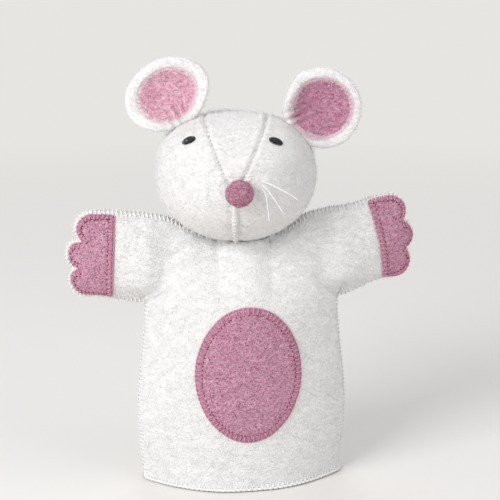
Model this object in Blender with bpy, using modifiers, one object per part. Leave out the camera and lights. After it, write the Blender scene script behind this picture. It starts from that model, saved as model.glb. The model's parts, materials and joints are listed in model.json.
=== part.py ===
"""Felt mouse hand puppet: a T-shaped glove, two mitten paws and a stuffed head.

Metres, +Z up. The puppet faces -Y and stands on its open hem. Each piece of felt, thread or
stuffing is one object. The glove is two T-shaped sheets that meet at a side seam in one upright
plane, and each sheet is cut through at the shoulders, where the felt folds when an arm moves.
"""

import math

import bmesh
import bpy
from mathutils import Matrix, Vector
from mathutils.bvhtree import BVHTree

# Felt, thread and clearances
FELT = 0.0022
PATCH_FELT = 0.0016
SEAM_GAP = 0.0004
LAY_GAP = 0.0003
THREAD_RADIUS = 0.0005
THREAD_LIFT = 0.0012
WHISKER_RADIUS = 0.00030

# Body of the glove: half widths, half depth inside the felt, heights
HEM_HALF_WIDTH = 0.0652
BELLY_HALF_WIDTH = 0.0680
BELLY_HEIGHT = 0.0450
ARMPIT_HALF_WIDTH = 0.0620
ARMPIT_HEIGHT = 0.1190
BODY_HALF_DEPTH = 0.0350
CHEST_START = 0.0950
BODY_FULLNESS = 0.75
CHEST_FULLNESS = 0.60
HEM_TRIM = 0.0005
# Each sheet is cut straight out under the arm, this share of the way down from armpit to belly
SIDE_SHELF_SHARE = 0.25

# Neck and shoulders
NECK_TOP = 0.1545
NECK_RADIUS = 0.0160
NECK_TUBE_OUTER = 0.0180
NECK_LEAN = -0.0022
SHOULDER_RISE = (
    (0.0000, 0.0000),
    (0.0040, 0.0028),
    (0.0090, 0.0046),
    (0.0140, 0.0067),
    (0.0190, 0.0094),
    (0.0240, 0.0128),
    (0.0280, 0.0160),
    (0.0330, 0.0190),
)
SHOULDER_TOP = 0.1775
NECK_FOLD_HALF_WIDTH = 0.0540
NECK_FOLD_MIDDLE = 0.1760
NECK_FOLD_DROP = 0.0300

# Arms and paws
PAW_TIP = 0.1120
PAW_TOP = 0.1825
PAW_BOTTOM = 0.1275
ARM_HALF_DEPTH = 0.0160
ARM_FULLNESS = 0.70
ARM_TIP_FULLNESS = 0.60
ARM_BLEND_START = 0.65
ARM_BLEND_HEIGHT = 0.0165
SHOULDER_CUT_IN = 0.0660
SHOULDER_FOLD_WIDTH = 0.0140
FINGER_RADII = (0.0110, 0.0105, 0.0112)
FINGER_SETBACKS = (0.0055, 0.0, 0.0015)
WEB_SHARE = 0.98
PAD_MARGIN = 0.0016
ARM_RISES = {"left": -0.0030, "right": 0.0025}
CUFF_SHARES = {"left": (0.063, 0.183), "right": (0.052, 0.628)}

# Tummy patch
PATCH_HEIGHT = 0.0780
PATCH_HALF_WIDTH = 0.0320
PATCH_HALF_HEIGHT = 0.0430
STITCH_INSET = 0.0016

# Head, measured from its own centre
HEAD_CENTRE = Vector((-0.0036, -0.0050, 0.1995))
HEAD_HALF_WIDTH = 0.0515
HEAD_HALF_HEIGHT = 0.0415
HEAD_BACK = 0.0470
HEAD_FRONT = 0.0480
SNOUT_LENGTH = 0.0075
CROWN_FULLNESS = 2.5
CHIN_FULLNESS = 2.0
HEAD_FACING = math.radians(-8.0)
HEAD_PIVOT = 0.1770
GUSSET_FOOT = 0.0048
GUSSET_FOOT_HALF_WIDTH = 0.0033
GUSSET_TOP_HALF_WIDTH = 0.0205
GUSSET_SEAM_TOP = 0.0386
CHIN_SEAM_TOP = -0.0104
CHIN_SEAM_BOTTOM = -0.0365

# What the finger goes into
POCKET_BORE = 0.0102
POCKET_FELT = 0.0020
POCKET_BOTTOM = 0.1650
POCKET_DEPTH = 0.0400
BAND_BORE = 0.0128
BAND_FELT = 0.0026
BAND_BOTTOM = 0.1560
BAND_HEIGHT = 0.0060
TURN_ROOM = 0.0004

# Face
NOSE_RADIUS = 0.0081
NOSE_SINK = 0.0030
NOSE_HEIGHT = 0.0005
EYE_HALF_LENGTH = 0.0041
EYE_HALF_WIDTH = 0.0030
EYE_DOME = 0.0010
EYE_SPREADS = {"left": 0.0280, "right": 0.0245}
EYE_HEIGHT = 0.0284
EYE_SLANT = math.radians(32.0)
WHISKER_SPREAD = 0.0160
WHISKER_HEIGHT = 0.0070
WHISKER_PITCH = 0.0024
WHISKERS = ((math.radians(-20.0), 0.0280), (math.radians(-50.0), 0.0240), (math.radians(-82.0), 0.0230))
WHISKER_FORWARD = 0.35
WHISKER_BEND = 2.2

# Ears
EAR_HALF_WIDTH = 0.0265
EAR_HALF_LENGTHS = {"left": 0.0208, "right": 0.0236}
EAR_CUP = 0.0060
EAR_FELT = 0.0040
EAR_LINING_FELT = 0.0016
EAR_LINING_SHARE = 0.74
EAR_PINCH = 0.30
EAR_LEANS = {"left": math.radians(30.0), "right": math.radians(66.0)}
EAR_ROOT_ANGLES = {"left": math.radians(43.0), "right": math.radians(43.0)}
EAR_ROOT_BACK = 0.0010
EAR_LIFT = 0.0008
EAR_SINK = 0.0016

# The side seams stand this far behind the middle, so that nose and nape reach equally far
SEAM_PLANE = 0.0151

# Facets
BODY_COLUMNS = (0.0, 0.11, 0.23, 0.42, 0.62, 0.81, 1.0)
ARM_COLUMNS = (0.20, 0.40, 0.60, 0.78, 0.92, 1.06)
LOWER_ROWS = 4
UPPER_ROWS = (0.0, 0.20, 0.42, 0.64, 0.84, 1.0)
HEAD_SEGMENTS = 24
HEAD_RINGS = 16
RING_SEGMENTS = 24
EAR_SEGMENTS = 18
EAR_RINGS = 3
LOOP_POINTS = 34
HEM_POINTS = 44
HEM_CORNER_SHARE = 0.995
SIDE_POINTS = 8
FOLD_POINTS = 28
SEAM_POINTS = 9
WHISKER_POINTS = 6
NOSE_SEGMENTS = 16
EYE_SEGMENTS = 16
EYE_RINGS = 4
FAR = 0.2

SIDES = {"left": -1.0, "right": 1.0}
FRONT, BACK = -1.0, 1.0

COLOURS = {
    "white_felt": ((0.86, 0.85, 0.83), 0.95),
    "pink_felt": ((0.50, 0.22, 0.30), 0.95),
    "ear_pink_felt": ((0.66, 0.34, 0.44), 0.95),
    "white_thread": ((0.88, 0.88, 0.87), 0.80),
    "pink_thread": ((0.46, 0.17, 0.25), 0.80),
    "black_thread": ((0.012, 0.012, 0.014), 0.45),
    "whisker_thread": ((0.90, 0.90, 0.90), 0.40),
    "wool_stuffing": ((0.80, 0.78, 0.72), 1.00),
}


# ---------------------------------------------------------------- scene and small helpers


def clear_scene():
    for item in list(bpy.data.objects):
        bpy.data.objects.remove(item, do_unlink=True)


def new_collection(name):
    collection = bpy.data.collections.new(name)
    bpy.context.scene.collection.children.link(collection)
    return collection


def material(name):
    colour, roughness = COLOURS[name]
    made = bpy.data.materials.new(name)
    made.use_nodes = True
    shader = made.node_tree.nodes["Principled BSDF"]
    shader.inputs["Base Color"].default_value = (*colour, 1.0)
    shader.inputs["Roughness"].default_value = roughness
    shader.inputs["Metallic"].default_value = 0.0
    made.diffuse_color = (*colour, 1.0)
    return made


def lerp(a, b, share):
    return a + (b - a) * share


def smoothstep(share):
    share = min(max(share, 0.0), 1.0)
    return share * share * (3 - 2 * share)


def along(points, x):
    """Height of an open outline, given as (x, height) points in order, at x."""
    for (x0, h0), (x1, h1) in zip(points, points[1:]):
        if x <= x1:
            return lerp(h0, h1, max(x - x0, 0.0) / (x1 - x0))
    return points[-1][1]


def empty(name, parent, location, turn=None):
    """A joint's place: what moves with the joint is parented to it."""
    pivot = bpy.data.objects.new(name, None)
    parts.objects.link(pivot)
    pivot.parent = parent
    pivot.location = location
    if turn:
        pivot.rotation_euler = turn
    return pivot


def add_object(name, mesh, parent, finish, smooth=True):
    piece = bpy.data.objects.new(name, mesh)
    parts.objects.link(piece)
    piece.parent = parent
    mesh.materials.clear()
    mesh.materials.append(material(finish))
    if smooth:
        mesh.shade_smooth()
    return piece


def add_guide(name, mesh, parent):
    guide = bpy.data.objects.new(name, mesh)
    cutters.objects.link(guide)
    guide.parent = parent
    guide.hide_render = True
    guide.display_type = "WIRE"
    return guide


def mesh_from(bm, name):
    mesh = bpy.data.meshes.new(name)
    bm.to_mesh(mesh)
    bm.free()
    return mesh


def subdivide(piece, levels=1):
    soft = piece.modifiers.new("soft form", "SUBSURF")
    soft.levels = soft.render_levels = levels
    soft.boundary_smooth = "PRESERVE_CORNERS"


def displace(piece, distance):
    shift = piece.modifiers.new("offset", "DISPLACE")
    shift.strength = distance
    shift.mid_level = 0.0


def solidify(piece, thickness):
    wall = piece.modifiers.new("felt", "SOLIDIFY")
    wall.thickness = thickness
    wall.offset = 1.0


def boolean(piece, cutter, operation):
    cut = piece.modifiers.new(f"{operation.lower()} {cutter.name}", "BOOLEAN")
    cut.operation = operation
    cut.object = cutter
    cut.solver = "EXACT"


def half_sphere(segments, rings):
    """The upper half of a ball of radius 1, open below."""
    bm = bmesh.new()
    bmesh.ops.create_uvsphere(bm, u_segments=segments, v_segments=2 * rings, radius=1.0)
    lower = [vert for vert in bm.verts if vert.co.z < -LAY_GAP]
    bmesh.ops.delete(bm, geom=lower, context="VERTS")
    return bm


def surface_of(piece):
    """The evaluated surface of a piece, in the piece's own space, to cast rays at."""
    return BVHTree.FromObject(piece, bpy.context.evaluated_depsgraph_get())


def evaluated_mesh(piece):
    graph = bpy.context.evaluated_depsgraph_get()
    return bpy.data.meshes.new_from_object(piece.evaluated_get(graph))


def prism(name, outline, parent, depth=FAR):
    """A cutter: a flat (x, z) outline drawn out along Y to both sides."""
    curve = bpy.data.curves.new(name, "CURVE")
    curve.dimensions = "2D"
    curve.fill_mode = "BOTH"
    curve.extrude = depth
    spline = curve.splines.new("POLY")
    spline.points.add(len(outline) - 1)
    for point, (x, z) in zip(spline.points, outline):
        point.co = (x, z, 0.0, 1.0)
    spline.use_cyclic_u = True
    drawn = bpy.data.objects.new(name, curve)
    cutters.objects.link(drawn)
    mesh = evaluated_mesh(drawn)
    bpy.data.objects.remove(drawn, do_unlink=True)
    bm = bmesh.new()
    bm.from_mesh(mesh)
    bmesh.ops.remove_doubles(bm, verts=bm.verts, dist=1e-6)
    bmesh.ops.rotate(bm, verts=bm.verts, matrix=Matrix.Rotation(math.pi / 2, 3, "X"))
    bmesh.ops.recalc_face_normals(bm, faces=bm.faces)
    return add_guide(name, mesh_from(bm, name), parent)


def thread(name, points, radius, parent, finish, closed=False, roundness=1):
    """A run of thread: a round tube along the given points."""
    curve = bpy.data.curves.new(name, "CURVE")
    curve.dimensions = "3D"
    curve.bevel_depth = radius
    curve.bevel_resolution = roundness
    curve.use_fill_caps = not closed
    spline = curve.splines.new("POLY")
    spline.points.add(len(points) - 1)
    for point, place in zip(spline.points, points):
        point.co = (*place, 1.0)
    spline.use_cyclic_u = closed
    run = bpy.data.objects.new(name, curve)
    parts.objects.link(run)
    run.parent = parent
    curve.materials.append(material(finish))
    return run


# ---------------------------------------------------------------- shape of the glove


def paw_share(x):
    """How far out along the arm a place is, from 0 at the armpit to 1 at the paw."""
    return smoothstep((abs(x) - ARMPIT_HALF_WIDTH) / (paw_middle() - ARMPIT_HALF_WIDTH))


def arm_rise(x):
    """The two arms stand at slightly different heights."""
    return ARM_RISES["left" if x < 0 else "right"] * paw_share(x)


def shoulder_line(x):
    """Height of the glove's upper edge at a place x across it."""
    out = abs(x - NECK_LEAN) - NECK_RADIUS
    last_out, last_rise = SHOULDER_RISE[-1]
    if out <= last_out:
        return NECK_TOP + along(SHOULDER_RISE, max(out, 0.0))
    share = (out - last_out) / (ARMPIT_HALF_WIDTH - NECK_RADIUS - last_out)
    shoulder = lerp(NECK_TOP + last_rise, SHOULDER_TOP, min(share, 1.0))
    return lerp(shoulder, PAW_TOP, paw_share(x)) + arm_rise(x)


def arm_underside(x):
    """Height of the arm's lower edge; inside the body it is the armpit's height."""
    return lerp(ARMPIT_HEIGHT, PAW_BOTTOM, paw_share(x)) + arm_rise(x)


def paw_middle():
    return PAW_TIP - FINGER_RADII[1] - FINGER_SETBACKS[0]


def side_line(z):
    """Half width of the body at height z."""
    if z <= BELLY_HEIGHT:
        return lerp(HEM_HALF_WIDTH, BELLY_HALF_WIDTH, smoothstep(z / BELLY_HEIGHT))
    share = (z - BELLY_HEIGHT) / (ARMPIT_HEIGHT - BELLY_HEIGHT)
    return lerp(BELLY_HALF_WIDTH, ARMPIT_HALF_WIDTH, smoothstep(share))


def body_depth(x, z):
    """How far the body's felt stands from the seam plane."""
    across = max(1 - (x / side_line(z)) ** 2, 0.0) ** BODY_FULLNESS
    up = min(max((z - CHEST_START) / (shoulder_line(x) - CHEST_START), 0.0), 1.0)
    closing = (1 - up * up) ** CHEST_FULLNESS
    neck = NECK_RADIUS / BODY_HALF_DEPTH * math.sqrt(max(1 - (x / NECK_RADIUS) ** 2, 0.0))
    if z > CHEST_START:
        closing = math.sqrt(neck**2 + (1 - neck**2) * closing**2)
    return BODY_HALF_DEPTH * across * closing


def arm_depth(x, z):
    """How far the arm's felt stands from the seam plane."""
    middle = (shoulder_line(x) + arm_underside(x)) / 2
    half = (shoulder_line(x) - arm_underside(x)) / 2
    across = max(1 - ((z - middle) / half) ** 2, 0.0) ** ARM_FULLNESS
    reach = (abs(x) - ARMPIT_HALF_WIDTH) / (PAW_TIP - FINGER_RADII[1] / 2 - ARMPIT_HALF_WIDTH)
    return ARM_HALF_DEPTH * across * max(1 - max(reach, 0.0), 0.0) ** ARM_TIP_FULLNESS


def glove_depth(x, z):
    """How far the felt stands from the seam plane, where body and arm run into each other."""
    blend_from = ARM_BLEND_START * ARMPIT_HALF_WIDTH
    arm_share = smoothstep((abs(x) - blend_from) / (ARMPIT_HALF_WIDTH - blend_from))
    arm_share *= smoothstep((z - ARMPIT_HEIGHT) / ARM_BLEND_HEIGHT)
    body = body_depth(x, z) if arm_share < 1 else 0.0
    arm = arm_depth(x, z) if arm_share > 0 else 0.0
    return lerp(body, arm, arm_share)


def sheet_place(column, row):
    """Where a corner of the coarse sheet lies, as (x, z)."""
    side = -1.0 if column < 0 else 1.0
    column = abs(column)
    last = len(BODY_COLUMNS) - 1
    if column <= last and row <= LOWER_ROWS:
        z = lerp(-HEM_TRIM, ARMPIT_HEIGHT, row / LOWER_ROWS)
        return side * BODY_COLUMNS[column] * side_line(z), z
    if column <= last:
        x = side * BODY_COLUMNS[column] * ARMPIT_HALF_WIDTH
    else:
        x = side * lerp(ARMPIT_HALF_WIDTH, PAW_TIP, ARM_COLUMNS[column - last - 1])
    return x, lerp(arm_underside(x), shoulder_line(x), UPPER_ROWS[max(row - LOWER_ROWS, 0)])


def glove_sheet(name, face):
    """One T of felt, as a coarse grid of its inner face: face is FRONT or BACK."""
    last = len(BODY_COLUMNS) + len(ARM_COLUMNS) - 1
    rows = LOWER_ROWS + len(UPPER_ROWS) - 1
    bm = bmesh.new()
    bmesh.ops.create_grid(bm, x_segments=2 * last, y_segments=rows, size=0.5)
    cells = {}
    for vert in bm.verts:
        cells[vert] = (round((vert.co.x + 0.5) * 2 * last) - last, round((vert.co.y + 0.5) * rows))
    under_arms = []
    for square in bm.faces:
        inner = min(abs(cells[vert][0]) for vert in square.verts)
        lower = min(cells[vert][1] for vert in square.verts)
        if inner >= len(BODY_COLUMNS) - 1 and lower < LOWER_ROWS:
            under_arms.append(square)
    bmesh.ops.delete(bm, geom=under_arms, context="FACES")
    for vert in bm.verts:
        x, z = sheet_place(*cells[vert])
        vert.co = (x, face * (SEAM_GAP / 2 + glove_depth(x, z)), z)
    if face == BACK:
        bmesh.ops.reverse_faces(bm, faces=bm.faces)
    return mesh_from(bm, name)


def cut_in():
    return SHOULDER_CUT_IN - SEAM_GAP / 2


def cut_out():
    return SHOULDER_CUT_IN + SHOULDER_FOLD_WIDTH + SEAM_GAP / 2


def side_shelf():
    return lerp(ARMPIT_HEIGHT, BELLY_HEIGHT, SIDE_SHELF_SHARE)


def body_region():
    """All of the glove between the shoulder folds, as a flat outline."""
    shelf = side_shelf()
    right = [(FAR, 0.0), (FAR, shelf), (cut_in(), shelf), (cut_in(), FAR * 2)]
    return right + [(-x, z) for x, z in reversed(right)]


def fold_region(side):
    low = side_shelf()
    near = SHOULDER_CUT_IN + SEAM_GAP / 2
    far = cut_out() - SEAM_GAP
    return [(side * x, z) for x, z in ((near, low), (far, low), (far, FAR * 2), (near, FAR * 2))]


def finger_centres(name):
    """Middles of the three finger ends, as (distance from the middle, height)."""
    top_r, middle_r, low_r = FINGER_RADII
    rise = ARM_RISES[name]
    top = (PAW_TIP - FINGER_SETBACKS[0] - top_r, PAW_TOP - top_r)
    low = (PAW_TIP - FINGER_SETBACKS[2] - low_r, PAW_BOTTOM + low_r)
    middle = (PAW_TIP - FINGER_SETBACKS[1] - middle_r, (top[1] + low[1]) / 2 + (low_r - top_r) / 2)
    return [(x, z + rise) for x, z in (top, middle, low)]


def arc(centre, radius, start, stop, steps=7):
    angles = [lerp(start, stop, i / steps) for i in range(steps + 1)]
    return [(centre[0] + radius * math.cos(a), centre[1] + radius * math.sin(a)) for a in angles]


def crossing(first, first_radius, second, second_radius):
    """The outer crossing of two finger circles, as an angle about each centre."""
    gap = Vector(second) - Vector(first)
    distance = gap.length
    base = math.atan2(gap.y, gap.x)
    first_share = (distance**2 + first_radius**2 - second_radius**2) / (2 * distance * first_radius)
    second_share = (distance**2 + second_radius**2 - first_radius**2) / (2 * distance * second_radius)
    first_angle = math.acos(min(first_share, WEB_SHARE))
    second_angle = math.acos(min(second_share, WEB_SHARE))
    return base + first_angle, base + math.pi - second_angle


def finger_outline(name, margin):
    """The three rounded fingers, from the top one's crown to the lowest one's sole."""
    centres = finger_centres(name)
    radii = [radius - margin for radius in FINGER_RADII]
    first_end, second_start = crossing(centres[0], radii[0], centres[1], radii[1])
    second_end, third_start = crossing(centres[1], radii[1], centres[2], radii[2])
    points = arc(centres[0], radii[0], math.pi / 2, first_end)
    points += arc(centres[1], radii[1], second_start, second_end)[1:]
    points += arc(centres[2], radii[2], third_start, -math.pi / 2)[1:]
    return points


def arm_region(name):
    """The arm and paw outside the shoulder fold, with the fingers' rounded ends."""
    centres = finger_centres(name)
    outline = [(cut_out(), 2 * FAR), (centres[0][0], 2 * FAR)]
    outline += finger_outline(name, 0.0)
    outline += [(centres[2][0], -FAR), (cut_out(), -FAR)]
    return [(SIDES[name] * x, z) for x, z in outline]


def cuff_line(name):
    """Top and bottom distance of the pink paw's straight edge from the middle."""
    room = PAW_TIP - FINGER_SETBACKS[2] - FINGER_RADII[2] - cut_out()
    top, bottom = CUFF_SHARES[name]
    return cut_out() + top * room, cut_out() + bottom * room


def pad_outline(name, margin):
    """The pink paw front's own outline, this far inside the white felt."""
    top_x, bottom_x = cuff_line(name)
    inner = margin - PAD_MARGIN
    top_x, bottom_x = top_x + inner, bottom_x + inner
    fingers = finger_outline(name, margin)
    side = SIDES[name]
    upper = [top_x, lerp(top_x, fingers[0][0], 0.5)]
    lower = [lerp(bottom_x, fingers[-1][0], 0.5), bottom_x]
    outline = [(x, shoulder_line(side * x) - margin) for x in upper]
    outline += fingers
    outline += [(x, arm_underside(side * x) + margin) for x in lower]
    return [(side * x, z) for x, z in outline]


def oval(half_width, half_height, steps, middle=0.0):
    turns = [2 * math.pi * i / steps for i in range(steps)]
    return [(half_width * math.cos(turn), middle + half_height * math.sin(turn)) for turn in turns]


# ---------------------------------------------------------------- pieces of the glove


def felt_piece(name, face, region, parent, finish="white_felt", lift=0.0, felt=FELT):
    """A piece of one T of felt: the T, its thickness, and the part inside the region."""
    piece = add_object(name, glove_sheet(name, face), parent, finish)
    subdivide(piece)
    if lift:
        displace(piece, lift)
    solidify(piece, felt)
    boolean(piece, region, "INTERSECT")
    return piece


def resample(points, count):
    """The same closed flat outline with evenly spread points."""
    closed = points + points[:1]
    lengths = [math.dist(a, b) for a, b in zip(closed, closed[1:])]
    total = sum(lengths)
    spread = []
    for i in range(count):
        target = total * i / count
        for (a, b), length in zip(zip(closed, closed[1:]), lengths):
            if target <= length:
                spread.append(tuple(lerp(p, q, target / length) for p, q in zip(a, b)))
                break
            target -= length
    return spread


def stitch_loop(name, outline, parent, finish):
    """Thread that runs on top of the pink felt, along a flat outline of it."""
    carrier = add_guide(f"{name}_carrier", glove_sheet(f"{name}_carrier", FRONT), parent)
    subdivide(carrier)
    displace(carrier, FELT + LAY_GAP + PATCH_FELT)
    surface = surface_of(carrier)
    points = []
    for x, z in resample(outline, LOOP_POINTS):
        place, normal, _, _ = surface.ray_cast(Vector((x, -FAR, z)), Vector((0, 1, 0)))
        points.append(place + normal * THREAD_LIFT)
    return thread(name, points, THREAD_RADIUS, parent, finish, closed=True)


def side_stitching(name, side, parent):
    """Thread in the groove of the side seam, from above the hem to below the armpit."""
    out = 2 * THREAD_RADIUS + SEAM_GAP
    low = 2 * FELT + 3 * THREAD_RADIUS
    high = side_shelf()
    points = []
    for step in range(SIDE_POINTS):
        z = lerp(low, high, step / (SIDE_POINTS - 1))
        points.append((side * (side_line(z) + out), 0.0, z))
    return thread(name, points, THREAD_RADIUS, parent, "white_thread")


def hem_stitching(front, back, parent):
    """Thread round the outside of the hem, just above its edge."""
    surfaces = {FRONT: surface_of(front), BACK: surface_of(back)}
    height = 2 * FELT
    points = []
    for x, y in oval(1.0, 1.0, HEM_POINTS):
        face = FRONT if y < 0 else BACK
        start = Vector((x * HEM_HALF_WIDTH, face * FAR, height))
        place, normal, _, _ = surfaces[face].ray_cast(start, Vector((0, -face, 0)))
        if abs(x) < HEM_CORNER_SHARE and place:
            points.append(place + normal * THREAD_LIFT)
        elif abs(x) > 1 - SEAM_GAP:
            points.append(Vector((x * (side_line(height) + FELT + THREAD_LIFT), 0.0, height)))
    return thread("hem_stitching", points, THREAD_RADIUS, parent, "white_thread", closed=True)


def make_glove(root):
    """The two body panels, the folds round the neck, the patch and the body's stitching."""
    region = prism("body_region", body_region(), root)
    front = felt_piece("body_front_panel", FRONT, region, root)
    back = felt_piece("body_back_panel", BACK, region, root)
    seat = cylinder_cutter("neck_seat", NECK_TUBE_OUTER + LAY_GAP, NECK_TOP, SHOULDER_TOP, root)
    fold = prism(
        "neck_fold_region",
        oval(NECK_FOLD_HALF_WIDTH, NECK_FOLD_DROP, FOLD_POINTS, NECK_FOLD_MIDDLE),
        root,
    )
    hole = prism(
        "neck_fold_hole",
        oval(NECK_FOLD_HALF_WIDTH + SEAM_GAP, NECK_FOLD_DROP + SEAM_GAP, FOLD_POINTS, NECK_FOLD_MIDDLE),
        root,
    )
    for panel in (front, back):
        boolean(panel, hole, "DIFFERENCE")
    for label, face in (("front", FRONT), ("back", BACK)):
        boolean(felt_piece(f"neck_fold_{label}", face, fold, root), seat, "DIFFERENCE")
    outline = oval(PATCH_HALF_WIDTH, PATCH_HALF_HEIGHT, LOOP_POINTS, PATCH_HEIGHT)
    patch_region = prism("patch_region", outline, root)
    felt_piece("tummy_patch", FRONT, patch_region, root, "pink_felt", FELT + LAY_GAP, PATCH_FELT)
    inner = oval(
        PATCH_HALF_WIDTH - STITCH_INSET, PATCH_HALF_HEIGHT - STITCH_INSET, LOOP_POINTS, PATCH_HEIGHT
    )
    stitch_loop("tummy_patch_stitching", inner, root, "pink_thread")
    hem_stitching(front, back, root)
    for name, side in SIDES.items():
        side_stitching(f"{name}_side_stitching", side, root)


def shoulder_middle(side):
    """The middle of the shoulder fold, where an arm turns."""
    x = side * (SHOULDER_CUT_IN + SHOULDER_FOLD_WIDTH / 2)
    return x, (shoulder_line(x) + arm_underside(x)) / 2


def make_arm(name, side, root):
    x, z = shoulder_middle(side)
    pivot = empty(f"{name}_shoulder_pivot", root, (x, 0.0, z))
    back_to_root = Matrix.Translation(-pivot.location)
    fold = prism(f"{name}_fold_region", fold_region(side), root)
    arm = prism(f"{name}_arm_region", arm_region(name), root)
    pad_region = prism(f"{name}_pad_region", pad_outline(name, PAD_MARGIN), root)
    pieces = []
    for face_name, face in (("front", FRONT), ("back", BACK)):
        pieces.append(felt_piece(f"{name}_shoulder_fold_{face_name}", face, fold, pivot))
        pieces.append(felt_piece(f"{name}_arm_{face_name}", face, arm, pivot))
    lift = FELT + LAY_GAP
    pieces.append(
        felt_piece(f"{name}_paw_pad", FRONT, pad_region, pivot, "pink_felt", lift, PATCH_FELT)
    )
    for piece in pieces:
        piece.matrix_parent_inverse = back_to_root
    outline = pad_outline(name, PAD_MARGIN + STITCH_INSET)
    loop = stitch_loop(f"{name}_paw_stitching", outline, pivot, "pink_thread")
    loop.matrix_parent_inverse = back_to_root


# ---------------------------------------------------------------- shape of the head


def head_shape(direction):
    """The head's outer face in a direction from its centre."""
    depth = HEAD_FRONT if direction.y < 0 else HEAD_BACK
    power = lerp(CHIN_FULLNESS, CROWN_FULLNESS, smoothstep(2 * direction.z))
    reach = sum(abs(share) ** power for share in direction) ** (-1 / power)
    sizes = (HEAD_HALF_WIDTH, depth, HEAD_HALF_HEIGHT)
    point = Vector([share * size * reach for share, size in zip(direction, sizes)])
    forward = max(-direction.y, 0.0)
    point.y -= SNOUT_LENGTH * forward**4
    return point


def head_mesh(name):
    bm = bmesh.new()
    bmesh.ops.create_uvsphere(bm, u_segments=HEAD_SEGMENTS, v_segments=HEAD_RINGS, radius=1.0)
    for vert in bm.verts:
        vert.co = head_shape(vert.co.normalized()) + head_offset()
    return mesh_from(bm, name)


def head_offset():
    """The head's centre, from the point that it turns about."""
    return HEAD_CENTRE - Vector((0.0, 0.0, HEAD_PIVOT))


def head_form(name, parent, grow):
    """A guide of the head's form, grown or shrunk evenly."""
    form = add_guide(name, head_mesh(name), parent)
    if grow:
        displace(form, grow)
    return form


def gusset_edge(height, out=0.0):
    """Half width of the forehead gusset at a height above the head's centre."""
    slope = (GUSSET_TOP_HALF_WIDTH - GUSSET_FOOT_HALF_WIDTH) / (HEAD_HALF_HEIGHT - GUSSET_FOOT)
    return GUSSET_FOOT_HALF_WIDTH + slope * (height - GUSSET_FOOT) + out


def head_regions(parent):
    """Flat outlines of the three felt panels that cover the head."""
    centre = head_offset()
    top = HEAD_HALF_HEIGHT * 2
    gap = SEAM_GAP
    corners = ((-1, GUSSET_FOOT), (1, GUSSET_FOOT), (1, top), (-1, top))
    gusset = [(side * gusset_edge(height), height) for side, height in corners]
    cheek = [
        (gap / 2, -top),
        (gap / 2, GUSSET_FOOT - gap),
        (gusset_edge(GUSSET_FOOT) + gap, GUSSET_FOOT - gap),
        (gusset_edge(top) + gap, top),
        (top * 2, top),
        (top * 2, -top),
    ]
    made = {}
    outlines = {"gusset": gusset, "left": [(-x, z) for x, z in cheek], "right": cheek}
    for name, outline in outlines.items():
        placed = [(x + centre.x, z + centre.z) for x, z in outline]
        made[name] = prism(f"head_{name}_region", placed, parent)
    return made


def cylinder_cutter(name, radius, low, high, parent):
    bm = bmesh.new()
    bmesh.ops.create_cone(
        bm, cap_ends=True, segments=RING_SEGMENTS, radius1=radius, radius2=radius, depth=high - low
    )
    bmesh.ops.translate(bm, verts=bm.verts, vec=(0, 0, (high + low) / 2))
    return add_guide(name, mesh_from(bm, name), parent)


def turned(name, profile, parent, finish):
    """A turned piece about the neck's axis, from a profile that runs down its outer side."""
    mesh = bpy.data.meshes.new(name)
    edges = [(i, i + 1) for i in range(len(profile) - 1)]
    ring = profile[0][0] > 0 and profile[-1][0] > 0
    if ring:
        edges.append((len(profile) - 1, 0))
    mesh.from_pydata([(r, 0.0, z) for r, z in profile], edges, [])
    piece = add_object(name, mesh, parent, finish, smooth=False)
    spin = piece.modifiers.new("turned", "SCREW")
    spin.steps = spin.render_steps = RING_SEGMENTS
    spin.use_merge_vertices = True
    spin.merge_threshold = 1e-5
    spin.use_smooth_shade = True
    return piece


def tube_profile(outer, inner, low, high):
    return [(outer, high), (outer, low), (inner, low), (inner, high)]


def neck_pieces(root, head):
    """The felt neck, the band that the head is sewn to, and the pocket for the finger."""
    tube_low = NECK_TOP + LAY_GAP
    tube_high = BAND_BOTTOM + BAND_HEIGHT
    band_outer = BAND_BORE + BAND_FELT
    tube = tube_profile(NECK_TUBE_OUTER, band_outer + LAY_GAP, tube_low, tube_high)
    turned("neck_tube", tube, root, "white_felt")
    low = BAND_BOTTOM - HEAD_PIVOT
    band = tube_profile(band_outer, BAND_BORE, low, low + BAND_HEIGHT)
    turned("neck_band", band, head, "white_felt")
    low = POCKET_BOTTOM - HEAD_PIVOT
    high = low + POCKET_DEPTH
    outer = POCKET_BORE + POCKET_FELT
    pocket = [
        (0.0, high + POCKET_FELT),
        (outer, high + POCKET_FELT),
        (outer, low),
        (POCKET_BORE, low),
        (POCKET_BORE, high),
        (0.0, high),
    ]
    turned("finger_pocket", pocket, head, "white_felt")
    return outer, high + POCKET_FELT


def head_felt(name, region, inner, mouth, parent):
    piece = add_object(name, head_mesh(name), parent, "white_felt")
    boolean(piece, inner, "DIFFERENCE")
    boolean(piece, region, "INTERSECT")
    boolean(piece, mouth, "DIFFERENCE")
    return piece


def seam_thread(name, flat_points, surface, parent, finish="white_thread"):
    """Thread laid on the head's felt along a seam, seen from the front."""
    points = []
    for x, z in flat_points:
        place, normal, _, _ = surface.ray_cast(Vector((x, -FAR, z)), Vector((0, 1, 0)))
        points.append(place + normal * THREAD_LIFT)
    return thread(name, points, THREAD_RADIUS, parent, finish)


def stand_on(surface, x, z):
    """A place on the front of the head, and axes there: across, up and out of the surface."""
    place, normal, _, _ = surface.ray_cast(Vector((x, -FAR, z)), Vector((0, 1, 0)))
    across = Vector((0, 0, 1)).cross(normal).normalized()
    up = normal.cross(across)
    return place, Matrix((across, up, normal)).transposed()


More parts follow.
